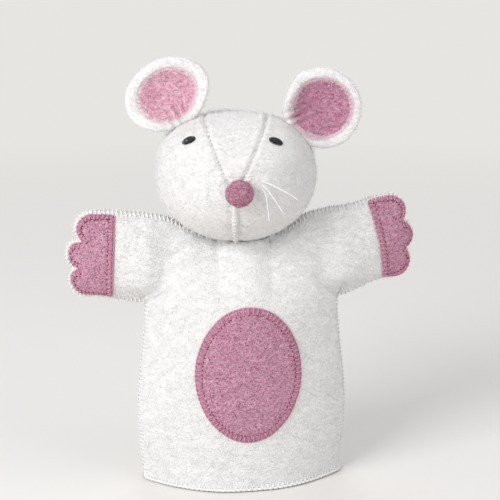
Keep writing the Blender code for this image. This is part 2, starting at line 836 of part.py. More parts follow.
def make_nose(surface, seat, parent):
    """A round felt nose, hollowed where it lies on the snout."""
    centre = head_offset()
    place, axes = stand_on(surface, centre.x, centre.z + NOSE_HEIGHT)
    bm = bmesh.new()
    bmesh.ops.create_uvsphere(bm, u_segments=NOSE_SEGMENTS, v_segments=NOSE_SEGMENTS // 2, radius=NOSE_RADIUS)
    bmesh.ops.translate(bm, verts=bm.verts, vec=place + axes.col[2] * (NOSE_RADIUS - NOSE_SINK))
    nose = add_object("nose", mesh_from(bm, "nose"), parent, "pink_felt")
    boolean(nose, seat, "DIFFERENCE")


def make_eye(name, side, surface, parent):
    """An eye of black stitches: a low oval dome with a flat back."""
    centre = head_offset()
    place, axes = stand_on(surface, centre.x + side * EYE_SPREADS[name], centre.z + EYE_HEIGHT)
    bm = half_sphere(EYE_SEGMENTS, EYE_RINGS)
    bmesh.ops.holes_fill(bm, edges=[edge for edge in bm.edges if edge.is_boundary])
    bmesh.ops.scale(bm, verts=bm.verts, vec=(EYE_HALF_LENGTH, EYE_HALF_WIDTH, EYE_DOME))
    turn = Matrix.Rotation(-side * EYE_SLANT, 3, "Z")
    bmesh.ops.transform(bm, verts=bm.verts, matrix=(axes @ turn).to_4x4())
    bmesh.ops.translate(bm, verts=bm.verts, vec=place + axes.col[2] * LAY_GAP)
    add_object(f"{name}_eye", mesh_from(bm, f"{name}_eye"), parent, "black_thread")


def make_whiskers(name, side, surface, parent):
    """Three threads that leave the cheek straight and then fall to the side."""
    centre = head_offset()
    for index, (fall, length) in enumerate(WHISKERS):
        root = (centre.x + side * WHISKER_SPREAD, centre.z + WHISKER_HEIGHT - index * WHISKER_PITCH)
        place, axes = stand_on(surface, *root)
        out = axes.col[2]
        sweep = Vector((side * math.cos(fall), -WHISKER_FORWARD, math.sin(fall))).normalized()
        points = [place + out * (LAY_GAP + WHISKER_RADIUS)]
        for step in range(1, WHISKER_POINTS):
            share = smoothstep(WHISKER_BEND * step / (WHISKER_POINTS - 1))
            ahead = out.lerp(sweep, share).normalized()
            points.append(points[-1] + ahead * length / (WHISKER_POINTS - 1))
        whisker = f"{name}_whisker_{index + 1}"
        thread(whisker, points, WHISKER_RADIUS, parent, "whisker_thread", roundness=0)


def make_head(root):
    """The stuffed head on its pivot: stuffing, three felt panels, seams, face and ears."""
    head = empty("head_pivot", root, (0.0, 0.0, HEAD_PIVOT), (0.0, 0.0, HEAD_FACING))
    pocket_radius, pocket_top = neck_pieces(root, head)
    outer = head_form("head_outer_form", head, 0.0)
    inner = head_form("head_inner_form", head, -FELT)
    mouth_top = POCKET_BOTTOM - HEAD_PIVOT + TURN_ROOM
    mouth = cylinder_cutter("neck_mouth", NECK_TUBE_OUTER + LAY_GAP, -FAR, mouth_top, head)
    bore = cylinder_cutter("pocket_bore", pocket_radius + TURN_ROOM, -FAR, pocket_top + TURN_ROOM, head)
    regions = head_regions(head)
    head_felt("forehead_gusset", regions["gusset"], inner, mouth, head)
    head_felt("head_left_panel", regions["left"], inner, mouth, head)
    head_felt("head_right_panel", regions["right"], inner, mouth, head)
    stuffing = add_object("head_stuffing", head_mesh("head_stuffing"), head, "wool_stuffing")
    displace(stuffing, -(FELT + 2 * LAY_GAP))
    boolean(stuffing, mouth, "DIFFERENCE")
    boolean(stuffing, bore, "DIFFERENCE")
    surface = surface_of(outer)
    make_nose(surface, head_form("nose_seat", head, LAY_GAP), head)
    centre = head_offset()
    steps = [i / (SEAM_POINTS - 1) for i in range(SEAM_POINTS)]
    ear_seat = head_form("ear_seat", head, EAR_LIFT)
    for name, side in SIDES.items():
        heights = [lerp(GUSSET_FOOT + NOSE_RADIUS, GUSSET_SEAM_TOP, step) for step in steps]
        seam = [(centre.x + side * gusset_edge(h, SEAM_GAP / 2), centre.z + h) for h in heights]
        seam_thread(f"{name}_gusset_stitching", seam, surface, head)
        make_eye(name, side, surface, head)
        make_whiskers(name, side, surface, head)
        make_ear(name, side, surface, ear_seat, head)
    heights = [lerp(CHIN_SEAM_TOP, CHIN_SEAM_BOTTOM, step) for step in steps]
    seam_thread("chin_stitching", [(centre.x, centre.z + h) for h in heights], surface, head)


# ---------------------------------------------------------------- ears


def ear_cup(name, half_length, share, front):
    """A cupped oval sheet with a pinched root: root at the origin, tip at +Z, open to -Y."""
    radius = (EAR_HALF_WIDTH**2 + EAR_CUP**2) / (2 * EAR_CUP)
    opening = math.asin(EAR_HALF_WIDTH / radius) * share
    bm = half_sphere(EAR_SEGMENTS, EAR_RINGS)
    for vert in bm.verts:
        angle = opening * math.acos(min(vert.co.z, 1.0)) / (math.pi / 2)
        heading = Vector((vert.co.x, vert.co.y))
        across, up = heading.normalized() * radius * math.sin(angle) if heading.length else (0.0, 0.0)
        pinch = 1 - EAR_PINCH * smoothstep(-up / EAR_HALF_WIDTH)
        height = half_length * (1 + up / EAR_HALF_WIDTH)
        vert.co = (across * pinch, -radius * (1 - math.cos(angle)), height)
    for sheet in bm.faces:
        sheet.normal_update()
    facing = sum(sheet.normal.y for sheet in bm.faces)
    if (facing < 0) != front:
        bmesh.ops.reverse_faces(bm, faces=bm.faces)
    return mesh_from(bm, name)


def make_ear(name, side, surface, seat, head):
    """One ear: a white cup and its pink lining, on a pivot at its root."""
    root_angle = EAR_ROOT_ANGLES[name]
    outward = Vector((side * math.sin(root_angle), 0.0, math.cos(root_angle)))
    start = head_offset() + outward * FAR + Vector((0.0, EAR_ROOT_BACK, 0.0))
    place, _, _, _ = surface.ray_cast(start, -outward)
    turn = (0.0, side * EAR_LEANS[name], 0.0)
    pivot = empty(f"{name}_ear_pivot", head, place - outward * EAR_SINK, turn)
    shape = ear_cup(f"{name}_ear", EAR_HALF_LENGTHS[name], 1.0, False)
    cup = add_object(f"{name}_ear", shape, pivot, "white_felt")
    solidify(cup, EAR_FELT)
    boolean(cup, seat, "DIFFERENCE")
    shape = ear_cup(f"{name}_ear_lining", EAR_HALF_LENGTHS[name], EAR_LINING_SHARE, True)
    lining = add_object(f"{name}_ear_lining", shape, pivot, "ear_pink_felt")
    displace(lining, LAY_GAP)
    solidify(lining, EAR_LINING_FELT)
    boolean(lining, seat, "DIFFERENCE")


clear_scene()
parts = new_collection("felt_hand_puppet")
cutters = new_collection("cutters")
puppet = empty("puppet", None, (0.0, SEAM_PLANE, 0.0))
make_glove(puppet)
for arm_name, arm_side in SIDES.items():
    make_arm(arm_name, arm_side, puppet)
make_head(puppet)
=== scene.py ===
"""Looks of a felt mouse hand puppet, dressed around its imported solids."""

import itertools
import json
import logging
import math
from dataclasses import dataclass, field
from enum import Enum
from typing import Iterable, Sequence

import bpy
import numpy as np
from mathutils import Matrix, Vector, geometry, noise
from mathutils.bvhtree import BVHTree

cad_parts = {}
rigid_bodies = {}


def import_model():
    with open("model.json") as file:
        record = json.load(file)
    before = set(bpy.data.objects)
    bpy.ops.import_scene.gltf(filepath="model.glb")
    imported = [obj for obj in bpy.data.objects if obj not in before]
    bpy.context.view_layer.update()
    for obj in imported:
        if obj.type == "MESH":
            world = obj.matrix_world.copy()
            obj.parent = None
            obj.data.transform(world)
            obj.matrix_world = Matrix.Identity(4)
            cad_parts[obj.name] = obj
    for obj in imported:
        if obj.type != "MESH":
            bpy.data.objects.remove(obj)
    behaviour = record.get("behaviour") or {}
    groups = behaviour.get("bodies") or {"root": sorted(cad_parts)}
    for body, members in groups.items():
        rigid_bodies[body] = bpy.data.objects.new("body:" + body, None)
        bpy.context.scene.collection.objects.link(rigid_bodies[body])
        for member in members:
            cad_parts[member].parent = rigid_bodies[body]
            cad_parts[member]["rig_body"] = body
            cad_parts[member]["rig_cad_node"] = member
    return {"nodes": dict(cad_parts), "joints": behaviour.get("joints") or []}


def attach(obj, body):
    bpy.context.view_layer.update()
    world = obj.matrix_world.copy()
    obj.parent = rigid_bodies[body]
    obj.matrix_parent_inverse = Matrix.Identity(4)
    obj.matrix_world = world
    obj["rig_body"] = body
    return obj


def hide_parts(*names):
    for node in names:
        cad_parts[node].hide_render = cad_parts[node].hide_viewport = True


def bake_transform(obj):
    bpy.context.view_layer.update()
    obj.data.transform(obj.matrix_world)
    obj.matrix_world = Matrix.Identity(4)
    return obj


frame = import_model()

log = logging.getLogger("puppet")

SEAM_PLANE = 0.0151
FELT = 0.0022
PATCH_FELT = 0.0016
SEAM_GAP = 0.0004
EDGE_GAP = 0.00005
EDGE_ROUND = 0.0012
EDGE_THIN = 0.40
THREAD_STEP = 0.0003
FAR = 0.2
FIBRES = {"body": 7000, "fold": 700, "arm": 1500}
PINK_FIBRES = {"body": 2600, "arm": 900}
HEAD_PIVOT = Vector((0.0, SEAM_PLANE, 0.177))
HEAD_FACING = math.radians(-8.0)

Flat = tuple[float, float]
Piece = bpy.types.Object


class Face(Enum):
    """The two felt sheets of the glove; the value is the side of the seam plane."""

    FRONT = -1
    BACK = 1


class Side(Enum):
    """The puppet's two sides, as seen from the front."""

    LEFT = -1
    RIGHT = 1

    @property
    def word(self) -> str:
        """The side's name as the solids use it."""
        return self.name.lower()


TUMMY_MIDDLE = 0.078
TUMMY_HALF_WIDTH = 0.032
TUMMY_HALF_HEIGHT = 0.043
PAW_CUFFS = {Side.LEFT: (0.063, 0.183), Side.RIGHT: (0.052, 0.628)}
PAW_MARGINS = {Side.LEFT: 0.0027, Side.RIGHT: 0.0014}
WHISKER_RADII = {Side.LEFT: 0.00015, Side.RIGHT: 0.00030}


# ---------------------------------------------------------------- small sums


def lerp(a: float, b: float, share: float) -> float:
    """The number this share of the way from a to b."""
    return a + (b - a) * share


def smoothstep(share: float) -> float:
    """Share clamped to 0..1 and eased at both ends."""
    share = min(max(share, 0.0), 1.0)
    return share * share * (3 - 2 * share)


def ripple(*place: float) -> float:
    """Smooth chance between -1 and 1 that is the same at the same three numbers."""
    return noise.noise(Vector(place))


def bell(off: float, width: float) -> float:
    """A soft bump: 1 at no distance, and near 0 past twice the width."""
    return math.exp(-((off / width) ** 2))


def rounded(felt: float, rim: float, width: float, thin: float) -> float:
    """Thickness of a felt whose cut edge is worn round.

    Args:
        felt: full thickness, in metres.
        rim: distance from the edge.
        width: how far in the rounding reaches.
        thin: share of the thickness that is left at the edge.
    """
    share = min(rim / width, 1.0)
    return felt * lerp(thin, 1.0, math.sqrt(1 - (1 - share) ** 2))


def lumps(place: Vector, *layers: tuple[float, float]) -> float:
    """Soft unevenness of hand-made felt.

    Args:
        place: where on the felt, in metres.
        layers: pairs of a wave length and a height, in metres.

    Returns:
        How far the felt stands out there, in metres.
    """
    return sum(height * noise.noise(place / length + Vector((7.3, 1.9, 4.1))) for length, height in layers)


def resample(points: Sequence[Flat], spacing: float, closed: bool = True) -> list[Flat]:
    """Evenly spread points along a flat line.

    Args:
        points: corners of the line.
        spacing: wanted distance between points, in metres.
        closed: whether the last corner joins the first.

    Returns:
        The new points; an open line keeps both ends.
    """
    line = np.array(list(points) + ([points[0]] if closed else []), float)
    reach = np.concatenate([[0.0], np.cumsum(np.linalg.norm(np.diff(line, axis=0), axis=1))])
    count = max(round(reach[-1] / spacing), 3)
    stops = np.linspace(0.0, reach[-1], count + 1)
    spread = np.stack([np.interp(stops, reach, line[:, axis]) for axis in (0, 1)], axis=1)
    return [tuple(point) for point in (spread[:-1] if closed else spread)]


def soften(points: Sequence[Flat], rounds: int) -> list[Flat]:
    """A closed flat line with its corners eased.

    Args:
        points: evenly spread points of the line.
        rounds: how many times each point moves towards its neighbours.
    """
    line = np.array(points, float)
    for _ in range(rounds):
        line = 0.5 * line + 0.25 * (np.roll(line, 1, axis=0) + np.roll(line, -1, axis=0))
    return [tuple(point) for point in line]


def inward(points: Sequence[Flat]) -> np.ndarray:
    """Unit directions into a closed flat line at each of its points."""
    line = np.array(points, float)
    ahead = np.roll(line, -1, axis=0) - np.roll(line, 1, axis=0)
    ahead /= np.maximum(np.linalg.norm(ahead, axis=1, keepdims=True), 1e-9)
    after = np.roll(line, -1, axis=0)
    turn = np.sign((line[:, 0] * after[:, 1] - after[:, 0] * line[:, 1]).sum())
    return np.stack([-ahead[:, 1], ahead[:, 0]], axis=1) * turn


def edge_distance(points: np.ndarray, outline: Sequence[Flat], closed: bool = True) -> np.ndarray:
    """Distance of each flat point from a flat line, closed or open."""
    start = np.array(outline, float)
    step = np.roll(start, -1, axis=0) - start
    if not closed:
        start, step = start[:-1], step[:-1]
    length = np.maximum((step**2).sum(1), 1e-18)
    found = []
    for chunk in np.array_split(points, max(len(points) // 1500, 1)):
        gap = chunk[:, None, :] - start[None]
        share = np.clip((gap * step).sum(2) / length, 0, 1)
        found.append(np.sqrt(((gap - share[..., None] * step) ** 2).sum(2).min(1)))
    return np.concatenate(found)


def inside(points: np.ndarray, outline: Sequence[Flat]) -> np.ndarray:
    """Which flat points lie within a closed flat line."""
    start = np.array(outline, float)
    end = np.roll(start, -1, axis=0)
    found = np.zeros(len(points), bool)
    for (x0, z0), (x1, z1) in zip(start, end):
        crosses = (z0 > points[:, 1]) != (z1 > points[:, 1])
        if z0 != z1:
            at = x0 + (points[:, 1] - z0) / (z1 - z0) * (x1 - x0)
            found ^= crosses & (points[:, 0] < at)
    return found


# ---------------------------------------------------------------- making pieces by hand


def deselect_all() -> None:
    """Leaves nothing selected, so that an operator acts on the new piece alone."""
    for other in bpy.context.selected_objects:
        other.select_set(False)


def pick(piece: Piece) -> None:
    """Makes one piece the selected and active one."""
    deselect_all()
    piece.select_set(True)
    bpy.context.view_layer.objects.active = piece


def settle(piece: Piece, name: str) -> Piece:
    """Names a new piece and moves its place, turn and size into its mesh."""
    pick(piece)
    bpy.ops.object.transform_apply(location=True, rotation=True, scale=True)
    piece.name = name
    piece.data.name = name
    return piece


def apply_all(piece: Piece) -> Piece:
    """Applies the piece's modifiers, from the first to the last."""
    pick(piece)
    for modifier in list(piece.modifiers):
        bpy.ops.object.modifier_apply(modifier=modifier.name)
    return piece


def edit(piece: Piece) -> None:
    """Opens a piece in edit mode with all of it selected."""
    pick(piece)
    bpy.ops.object.mode_set(mode="EDIT")
    bpy.ops.mesh.select_all(action="SELECT")


def close_edit() -> None:
    """Goes back to object mode."""
    bpy.ops.object.mode_set(mode="OBJECT")


def from_points(name: str, points: np.ndarray, faces: Iterable[Sequence[int]]) -> Piece:
    """A smooth-shaded piece from its points and faces."""
    mesh = bpy.data.meshes.new(name)
    mesh.from_pydata([tuple(point) for point in points], [], [tuple(face) for face in faces])
    mesh.shade_smooth()
    piece = bpy.data.objects.new(name, mesh)
    bpy.context.scene.collection.objects.link(piece)
    return piece


def points_of(piece: Piece) -> np.ndarray:
    """The piece's points as an array of rows."""
    found = np.empty(len(piece.data.vertices) * 3)
    piece.data.vertices.foreach_get("co", found)
    return found.reshape(-1, 3)


def put_points(piece: Piece, points: np.ndarray) -> None:
    """Moves the piece's points to these places."""
    piece.data.vertices.foreach_set("co", np.asarray(points, np.float32).ravel())
    piece.data.update()


def normals_of(piece: Piece) -> np.ndarray:
    """The piece's smooth normals as an array of rows."""
    found = np.empty(len(piece.data.vertices) * 3, np.float32)
    piece.data.vertices.foreach_get("normal", found)
    return found.reshape(-1, 3).astype(float)


def surface_of(piece: Piece) -> BVHTree:
    """The piece's surface, to cast rays at."""
    return BVHTree.FromObject(piece, bpy.context.evaluated_depsgraph_get())


def copy_of(name: str, node: str) -> Piece:
    """A new piece from a copy of a solid, with its doubles merged."""
    copied = frame["nodes"][node].copy()
    copied.data = copied.data.copy()
    copied.parent = None
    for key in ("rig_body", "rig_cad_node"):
        if key in copied:
            del copied[key]
    bpy.context.scene.collection.objects.link(copied)
    edit(copied)
    bpy.ops.mesh.remove_doubles(threshold=1e-6)
    close_edit()
    return settle(copied, name)


def ball(name: str, radius: float) -> Piece:
    """An evenly meshed ball about the origin."""
    deselect_all()
    bpy.ops.mesh.primitive_ico_sphere_add(subdivisions=5, radius=radius)
    return settle(bpy.context.object, name)


def globe(name: str, segments: int, rings: int) -> Piece:
    """A ball of radius 1 about the origin, meshed in rings about Z."""
    deselect_all()
    bpy.ops.mesh.primitive_uv_sphere_add(segments=segments, ring_count=rings, radius=1.0)
    return settle(bpy.context.object, name)


def paint(piece: Piece, mask: str, values: Sequence[float]) -> None:
    """Stores a number for each point, for the finish to read as a mask."""
    mark = piece.data.attributes.new(mask, "FLOAT", "POINT")
    mark.data.foreach_set("value", np.array(values, np.float32))


def drop_points(piece: Piece, chosen: Iterable[bool]) -> None:
    """Deletes the chosen points of a piece, with their faces."""
    pick(piece)
    bpy.ops.object.mode_set(mode="EDIT")
    bpy.ops.mesh.select_all(action="DESELECT")
    bpy.ops.mesh.select_mode(type="VERT")
    close_edit()
    for vertex, gone in zip(piece.data.vertices, chosen):
        vertex.select = bool(gone)
    bpy.ops.object.mode_set(mode="EDIT")
    bpy.ops.mesh.delete(type="VERT")
    close_edit()


def wall_inside(piece: Piece, thickness: float) -> Piece:
    """Gives an open skin this thickness, inwards."""
    wall = piece.modifiers.new("felt_wall", "SOLIDIFY")
    wall.thickness = thickness
    wall.offset = -1.0
    return apply_all(piece)


def remesh(piece: Piece, voxel: float, smooth: int = 0) -> Piece:
    """Gives the piece an even skin of squares, eased a little."""
    modifier = piece.modifiers.new("even_skin", "REMESH")
    modifier.mode = "VOXEL"
    modifier.voxel_size = voxel
    if smooth:
        easing = piece.modifiers.new("easing", "SMOOTH")
        easing.factor = 0.5
        easing.iterations = smooth
    apply_all(piece)
    piece.data.shade_smooth()
    return piece


def subdivide(piece: Piece, levels: int) -> Piece:
    """Applies a subdivision surface of this many levels."""
    modifier = piece.modifiers.new("rounding", "SUBSURF")
    modifier.levels = modifier.render_levels = levels
    return apply_all(piece)


def threads(
    name: str, paths: Iterable[Sequence[Vector]], radius: float, taper: float = 1.0, sides: int = 0
) -> Piece:
    """Threads of round section along paths, as one mesh piece.

    Args:
        name: the piece's name.
        paths: the points that each thread follows.
        radius: the threads' radius at their start.
        taper: share of the radius that is left at the far end.
        sides: Blender's bevel resolution, 0 for four sides.

    Returns:
        The new piece, riding on nothing yet.
    """
    curve = bpy.data.curves.new(name, "CURVE")
    curve.dimensions = "3D"
    curve.bevel_depth = radius
    curve.bevel_resolution = sides
    curve.use_fill_caps = True
    for path in paths:
        spline = curve.splines.new("POLY")
        spline.points.add(len(path) - 1)
        for index, (point, place) in enumerate(zip(spline.points, path)):
            point.co = (*place, 1.0)
            point.radius = lerp(1.0, taper, index / (len(path) - 1))
    piece = bpy.data.objects.new(name, curve)
    bpy.context.scene.collection.objects.link(piece)
    pick(piece)
    bpy.ops.object.convert(target="MESH")
    piece = bpy.context.view_layer.objects.active
    piece.data.shade_smooth()
    return settle(piece, name)


def join(name: str, pieces: Sequence[Piece]) -> Piece:
    """One piece made of several."""
    deselect_all()
    for piece in pieces:
        piece.select_set(True)
    bpy.context.view_layer.objects.active = pieces[0]
    bpy.ops.object.join()
    return settle(bpy.context.view_layer.objects.active, name)


def fuzz(
    name: str,
    piece: Piece,
    count: int,
    length: float,
    facing: float = 0.0,
    radius: float = 0.00009,
) -> Piece:
    """Loose wool fibres that stand off a felt piece.

    Args:
        name: the fibres' name.
        piece: the felt that they grow from.
        count: how many fibres.
        length: their middle length, in metres.
        facing: -1 or 1 to grow them only on faces towards the front or back, 0 for all.
        radius: a fibre's radius at its root.

    Returns:
        One piece with all the fibres, each of ten triangles.
    """
    mesh = piece.data
    mesh.calc_loop_triangles()
    corners = np.empty(len(mesh.loop_triangles) * 3, np.int32)
    mesh.loop_triangles.foreach_get("vertices", corners)
    a, b, c = (points_of(piece)[corners.reshape(-1, 3)[:, i]] for i in range(3))
    normal = np.cross(b - a, c - a)
    area = np.linalg.norm(normal, axis=1)
    normal /= np.maximum(area[:, None], 1e-12)
    weight = np.where(normal[:, 1] * facing > -0.35, area, 0.0)
    dice = np.random.default_rng(sum(map(ord, name)))
    chosen = dice.choice(len(area), count, p=weight / weight.sum())
    u, v = dice.random((2, count, 1))
    flip = u + v > 1
    u, v = np.where(flip, 1 - u, u), np.where(flip, 1 - v, v)
    out = normal[chosen]
    root = a[chosen] + (b - a)[chosen] * u + (c - a)[chosen] * v - out * 0.0002
    first = out * 0.75 + dice.normal(0, 0.55, (count, 3))
    first /= np.linalg.norm(first, axis=1, keepdims=True)
    second = first * 0.7 + dice.normal(0, 0.6, (count, 3)) + out * 0.1
    second /= np.linalg.norm(second, axis=1, keepdims=True)
    long = length * dice.uniform(0.5, 1.5, (count, 1))
    bend = root + first * long * 0.5
    tip = bend + second * long * 0.5
    side = np.cross(first, dice.normal(0, 1, (count, 3)))
    side /= np.maximum(np.linalg.norm(side, axis=1, keepdims=True), 1e-9)
    other = np.cross(first, side)
    rows = []
    for middle, size in ((root, radius), (bend, radius * 0.85)):
        for turn in (0.0, 2.094, 4.189):
            rows.append(middle + (side * math.cos(turn) + other * math.sin(turn)) * size)
    points = np.stack([*rows, tip], axis=1).reshape(-1, 3)
    hair = [(0, 1, 4, 3), (1, 2, 5, 4), (2, 0, 3, 5), (3, 4, 6), (4, 5, 6), (5, 3, 6), (2, 1, 0)]
    points[:, 2] = np.maximum(points[:, 2], 0.0001)
    faces = [tuple(corner + 7 * index for corner in face) for index in range(count) for face in hair]
    return from_points(name, points, faces)


# ---------------------------------------------------------------- finishes


def srgb(red: int, green: int, blue: int) -> tuple[float, float, float, float]:
    """A colour written in screen values, as the renderer's linear one."""
    linear = [((c / 255 + 0.055) / 1.055) ** 2.4 if c > 10 else c / 255 / 12.92 for c in (red, green, blue)]
    return (*linear, 1.0)


class NodePen:
    """Adds and links nodes in one tree."""

    def __init__(self, tree: bpy.types.NodeTree) -> None:
        """Args: tree: the node tree that the pen writes in."""
        self.tree = tree

    def add(self, kind: str, **values: object) -> bpy.types.Node:
        """A new node with these properties and input values.

        Args:
            kind: Blender's name of the node type.
            values: node properties, or input sockets by name with _ for a space.
        """
        node = self.tree.nodes.new(kind)
        for key, value in values.items():
            if hasattr(node, key):
                setattr(node, key, value)
            else:
                self.feed(node, key.replace("_", " "), value)
        return node

    def group(self, name: str, **inputs: object) -> bpy.types.Node:
        """A node of one of the shared groups, with these inputs."""
        return self.add("ShaderNodeGroup", node_tree=bpy.data.node_groups[name], **inputs)

    def feed(self, node: bpy.types.Node, socket: str | int, value: object) -> None:
        """Sets an input, or links an output socket to it."""
        target = node.inputs[socket]
        if isinstance(value, bpy.types.NodeSocket):
            self.tree.links.new(value, target)
        else:
            target.default_value = value

    def math(self, operation: str, first: object, second: object = 0.0) -> bpy.types.NodeSocket:
        """One sum of two numbers."""
        node = self.tree.nodes.new("ShaderNodeMath")
        node.operation = operation
        self.feed(node, 0, first)
        self.feed(node, 1, second)
        return node.outputs[0]

    def ramp(self, value: object, low: float, high: float) -> bpy.types.NodeSocket:
        """The value spread from low..high to 0..1, clamped."""
        node = self.add("ShaderNodeMapRange", From_Min=low, From_Max=high)
        self.feed(node, "Value", value)
        return node.outputs["Result"]

    def mix(self, share: object, first: object, second: object) -> bpy.types.NodeSocket:
        """A blend of two colours."""
        node = self.tree.nodes.new("ShaderNodeMix")
        node.data_type = "RGBA"
        self.feed(node, 0, share)
        self.feed(node, 6, first)
        self.feed(node, 7, second)
        return node.outputs[2]


def blank_material(name: str) -> tuple[bpy.types.Material, NodePen]:
    """A new material without nodes, and the pen that writes in it."""
    material = bpy.data.materials.new(name)
    material.use_nodes = True
    material.node_tree.nodes.clear()
    return material, NodePen(material.node_tree)


def group_with(name: str, inputs: dict[str, tuple[str, object]], outputs: dict[str, str]) -> tuple:
    """A new shader node group with named sockets.

    Args:
        name: the group's name.
        inputs: socket type and default value of each input.
        outputs: socket type of each output.

    Returns:
        The group's pen, its input node and its output node.
    """
    tree = bpy.data.node_groups.new(name, "ShaderNodeTree")
    for label, (kind, value) in inputs.items():
        tree.interface.new_socket(label, in_out="INPUT", socket_type=kind).default_value = value
    for label, kind in outputs.items():
        tree.interface.new_socket(label, in_out="OUTPUT", socket_type=kind)
    pen = NodePen(tree)
    return pen, pen.add("NodeGroupInput"), pen.add("NodeGroupOutput")


def wool_mottle_group() -> bpy.types.NodeTree:
    """Patches and wisps of differently dyed wool, as a mask from 0 to 1."""
    pen, given, result = group_with(
        "wool_mottle",
        {
            "Vector": ("NodeSocketVector", (0, 0, 0)),
            "Patch": ("NodeSocketFloat", 90.0),
            "Wisp": ("NodeSocketFloat", 420.0),
        },
        {"Mask": "NodeSocketFloat", "Wisps": "NodeSocketFloat"},
    )
    vector, patch, wisp = (given.outputs[name] for name in ("Vector", "Patch", "Wisp"))
    broad = pen.add(
        "ShaderNodeTexNoise", Vector=vector, Scale=patch, Detail=4.0, Roughness=0.6, Distortion=0.6
    )
    stretched = pen.add("ShaderNodeMapping", Vector=vector, Scale=(0.8, 0.8, 1.2)).outputs[0]
    fine = pen.add(
        "ShaderNodeTexNoise", Vector=stretched, Scale=wisp, Detail=6.0, Roughness=0.7, Distortion=1.4
    )
    pen.feed(result, "Mask", pen.ramp(broad.outputs["Fac"], 0.30, 0.72))
    pen.feed(result, "Wisps", pen.ramp(fine.outputs["Fac"], 0.38, 0.68))
    return pen.tree


def matted_fibre_group() -> bpy.types.NodeTree:
    """Crossing strands of matted wool: a height, a mask of the strands, and a mask of the grain's low places,
    where the finish paints shade.
    """
    pen, given, result = group_with(
        "matted_fibres",
        {"Vector": ("NodeSocketVector", (0, 0, 0)), "Density": ("NodeSocketFloat", 1000.0)},
        {"Height": "NodeSocketFloat", "Strands": "NodeSocketFloat", "Hollows": "NodeSocketFloat"},
    )
    vector, density = given.outputs["Vector"], given.outputs["Density"]
    warp = pen.add("ShaderNodeTexNoise", Vector=vector, Scale=160.0, Detail=2.0)
    bend = pen.add("ShaderNodeVectorMath", operation="SCALE")
    pen.feed(bend, 0, warp.outputs["Color"])
    bend.inputs["Scale"].default_value = 0.006
    shifted = pen.add("ShaderNodeVectorMath", operation="ADD")
    pen.feed(shifted, 0, vector)
    pen.feed(shifted, 1, bend.outputs[0])
    strands = None
    for turn in ((0.2, 0.3, 0.1), (0.1, 1.0, 0.5), (0.4, 1.7, 0.2), (0.2, 2.4, 0.9)):
        laid = pen.add("ShaderNodeMapping", Vector=shifted.outputs[0], Rotation=turn, Scale=(0.42, 1.0, 1.0))
        strand = pen.add(
            "ShaderNodeTexNoise", Vector=laid.outputs[0], Scale=density, Detail=2.0, Roughness=0.5
        )
        ridge = pen.ramp(strand.outputs["Fac"], 0.52, 0.74)
        strands = ridge if strands is None else pen.math("MAXIMUM", strands, ridge)
    coarse = pen.math("MULTIPLY", density, 0.75)
    grain = pen.add("ShaderNodeTexNoise", Vector=vector, Scale=coarse, Detail=5.0, Roughness=0.65)
    rough = pen.math("MULTIPLY", grain.outputs["Fac"], 0.7)
    pen.feed(result, "Height", pen.math("ADD", pen.math("MULTIPLY", strands, 0.5), rough))
    pen.feed(result, "Strands", strands)
    # Painted shade mask: 1 where the grain's height, and so the bump, is low.
    pen.feed(result, "Hollows", pen.ramp(grain.outputs["Fac"], 0.56, 0.36))
    return pen.tree


def twist_group() -> bpy.types.NodeTree:
    """Plies and fluff of sewing thread, as a height."""
    pen, given, result = group_with(
        "thread_twist",
        {"Vector": ("NodeSocketVector", (0, 0, 0)), "Plies": ("NodeSocketFloat", 2600.0)},
        {"Height": "NodeSocketFloat", "Shade": "NodeSocketFloat"},
    )
    vector, count = given.outputs["Vector"], given.outputs["Plies"]
    plies = pen.add(
        "ShaderNodeTexWave", bands_direction="DIAGONAL", Vector=vector,
        Scale=pen.math("MULTIPLY", count, 0.25), Distortion=3.0, Detail=2.0, Detail_Scale=1.5,
    )
    fluff = pen.add("ShaderNodeTexNoise", Vector=vector, Scale=count, Detail=3.0)
    soft = pen.math("MULTIPLY", fluff.outputs["Fac"], 0.6)
    pen.feed(result, "Height", pen.math("ADD", plies.outputs["Fac"], soft))
    pen.feed(result, "Shade", pen.ramp(fluff.outputs["Fac"], 0.35, 0.65))
    return pen.tree


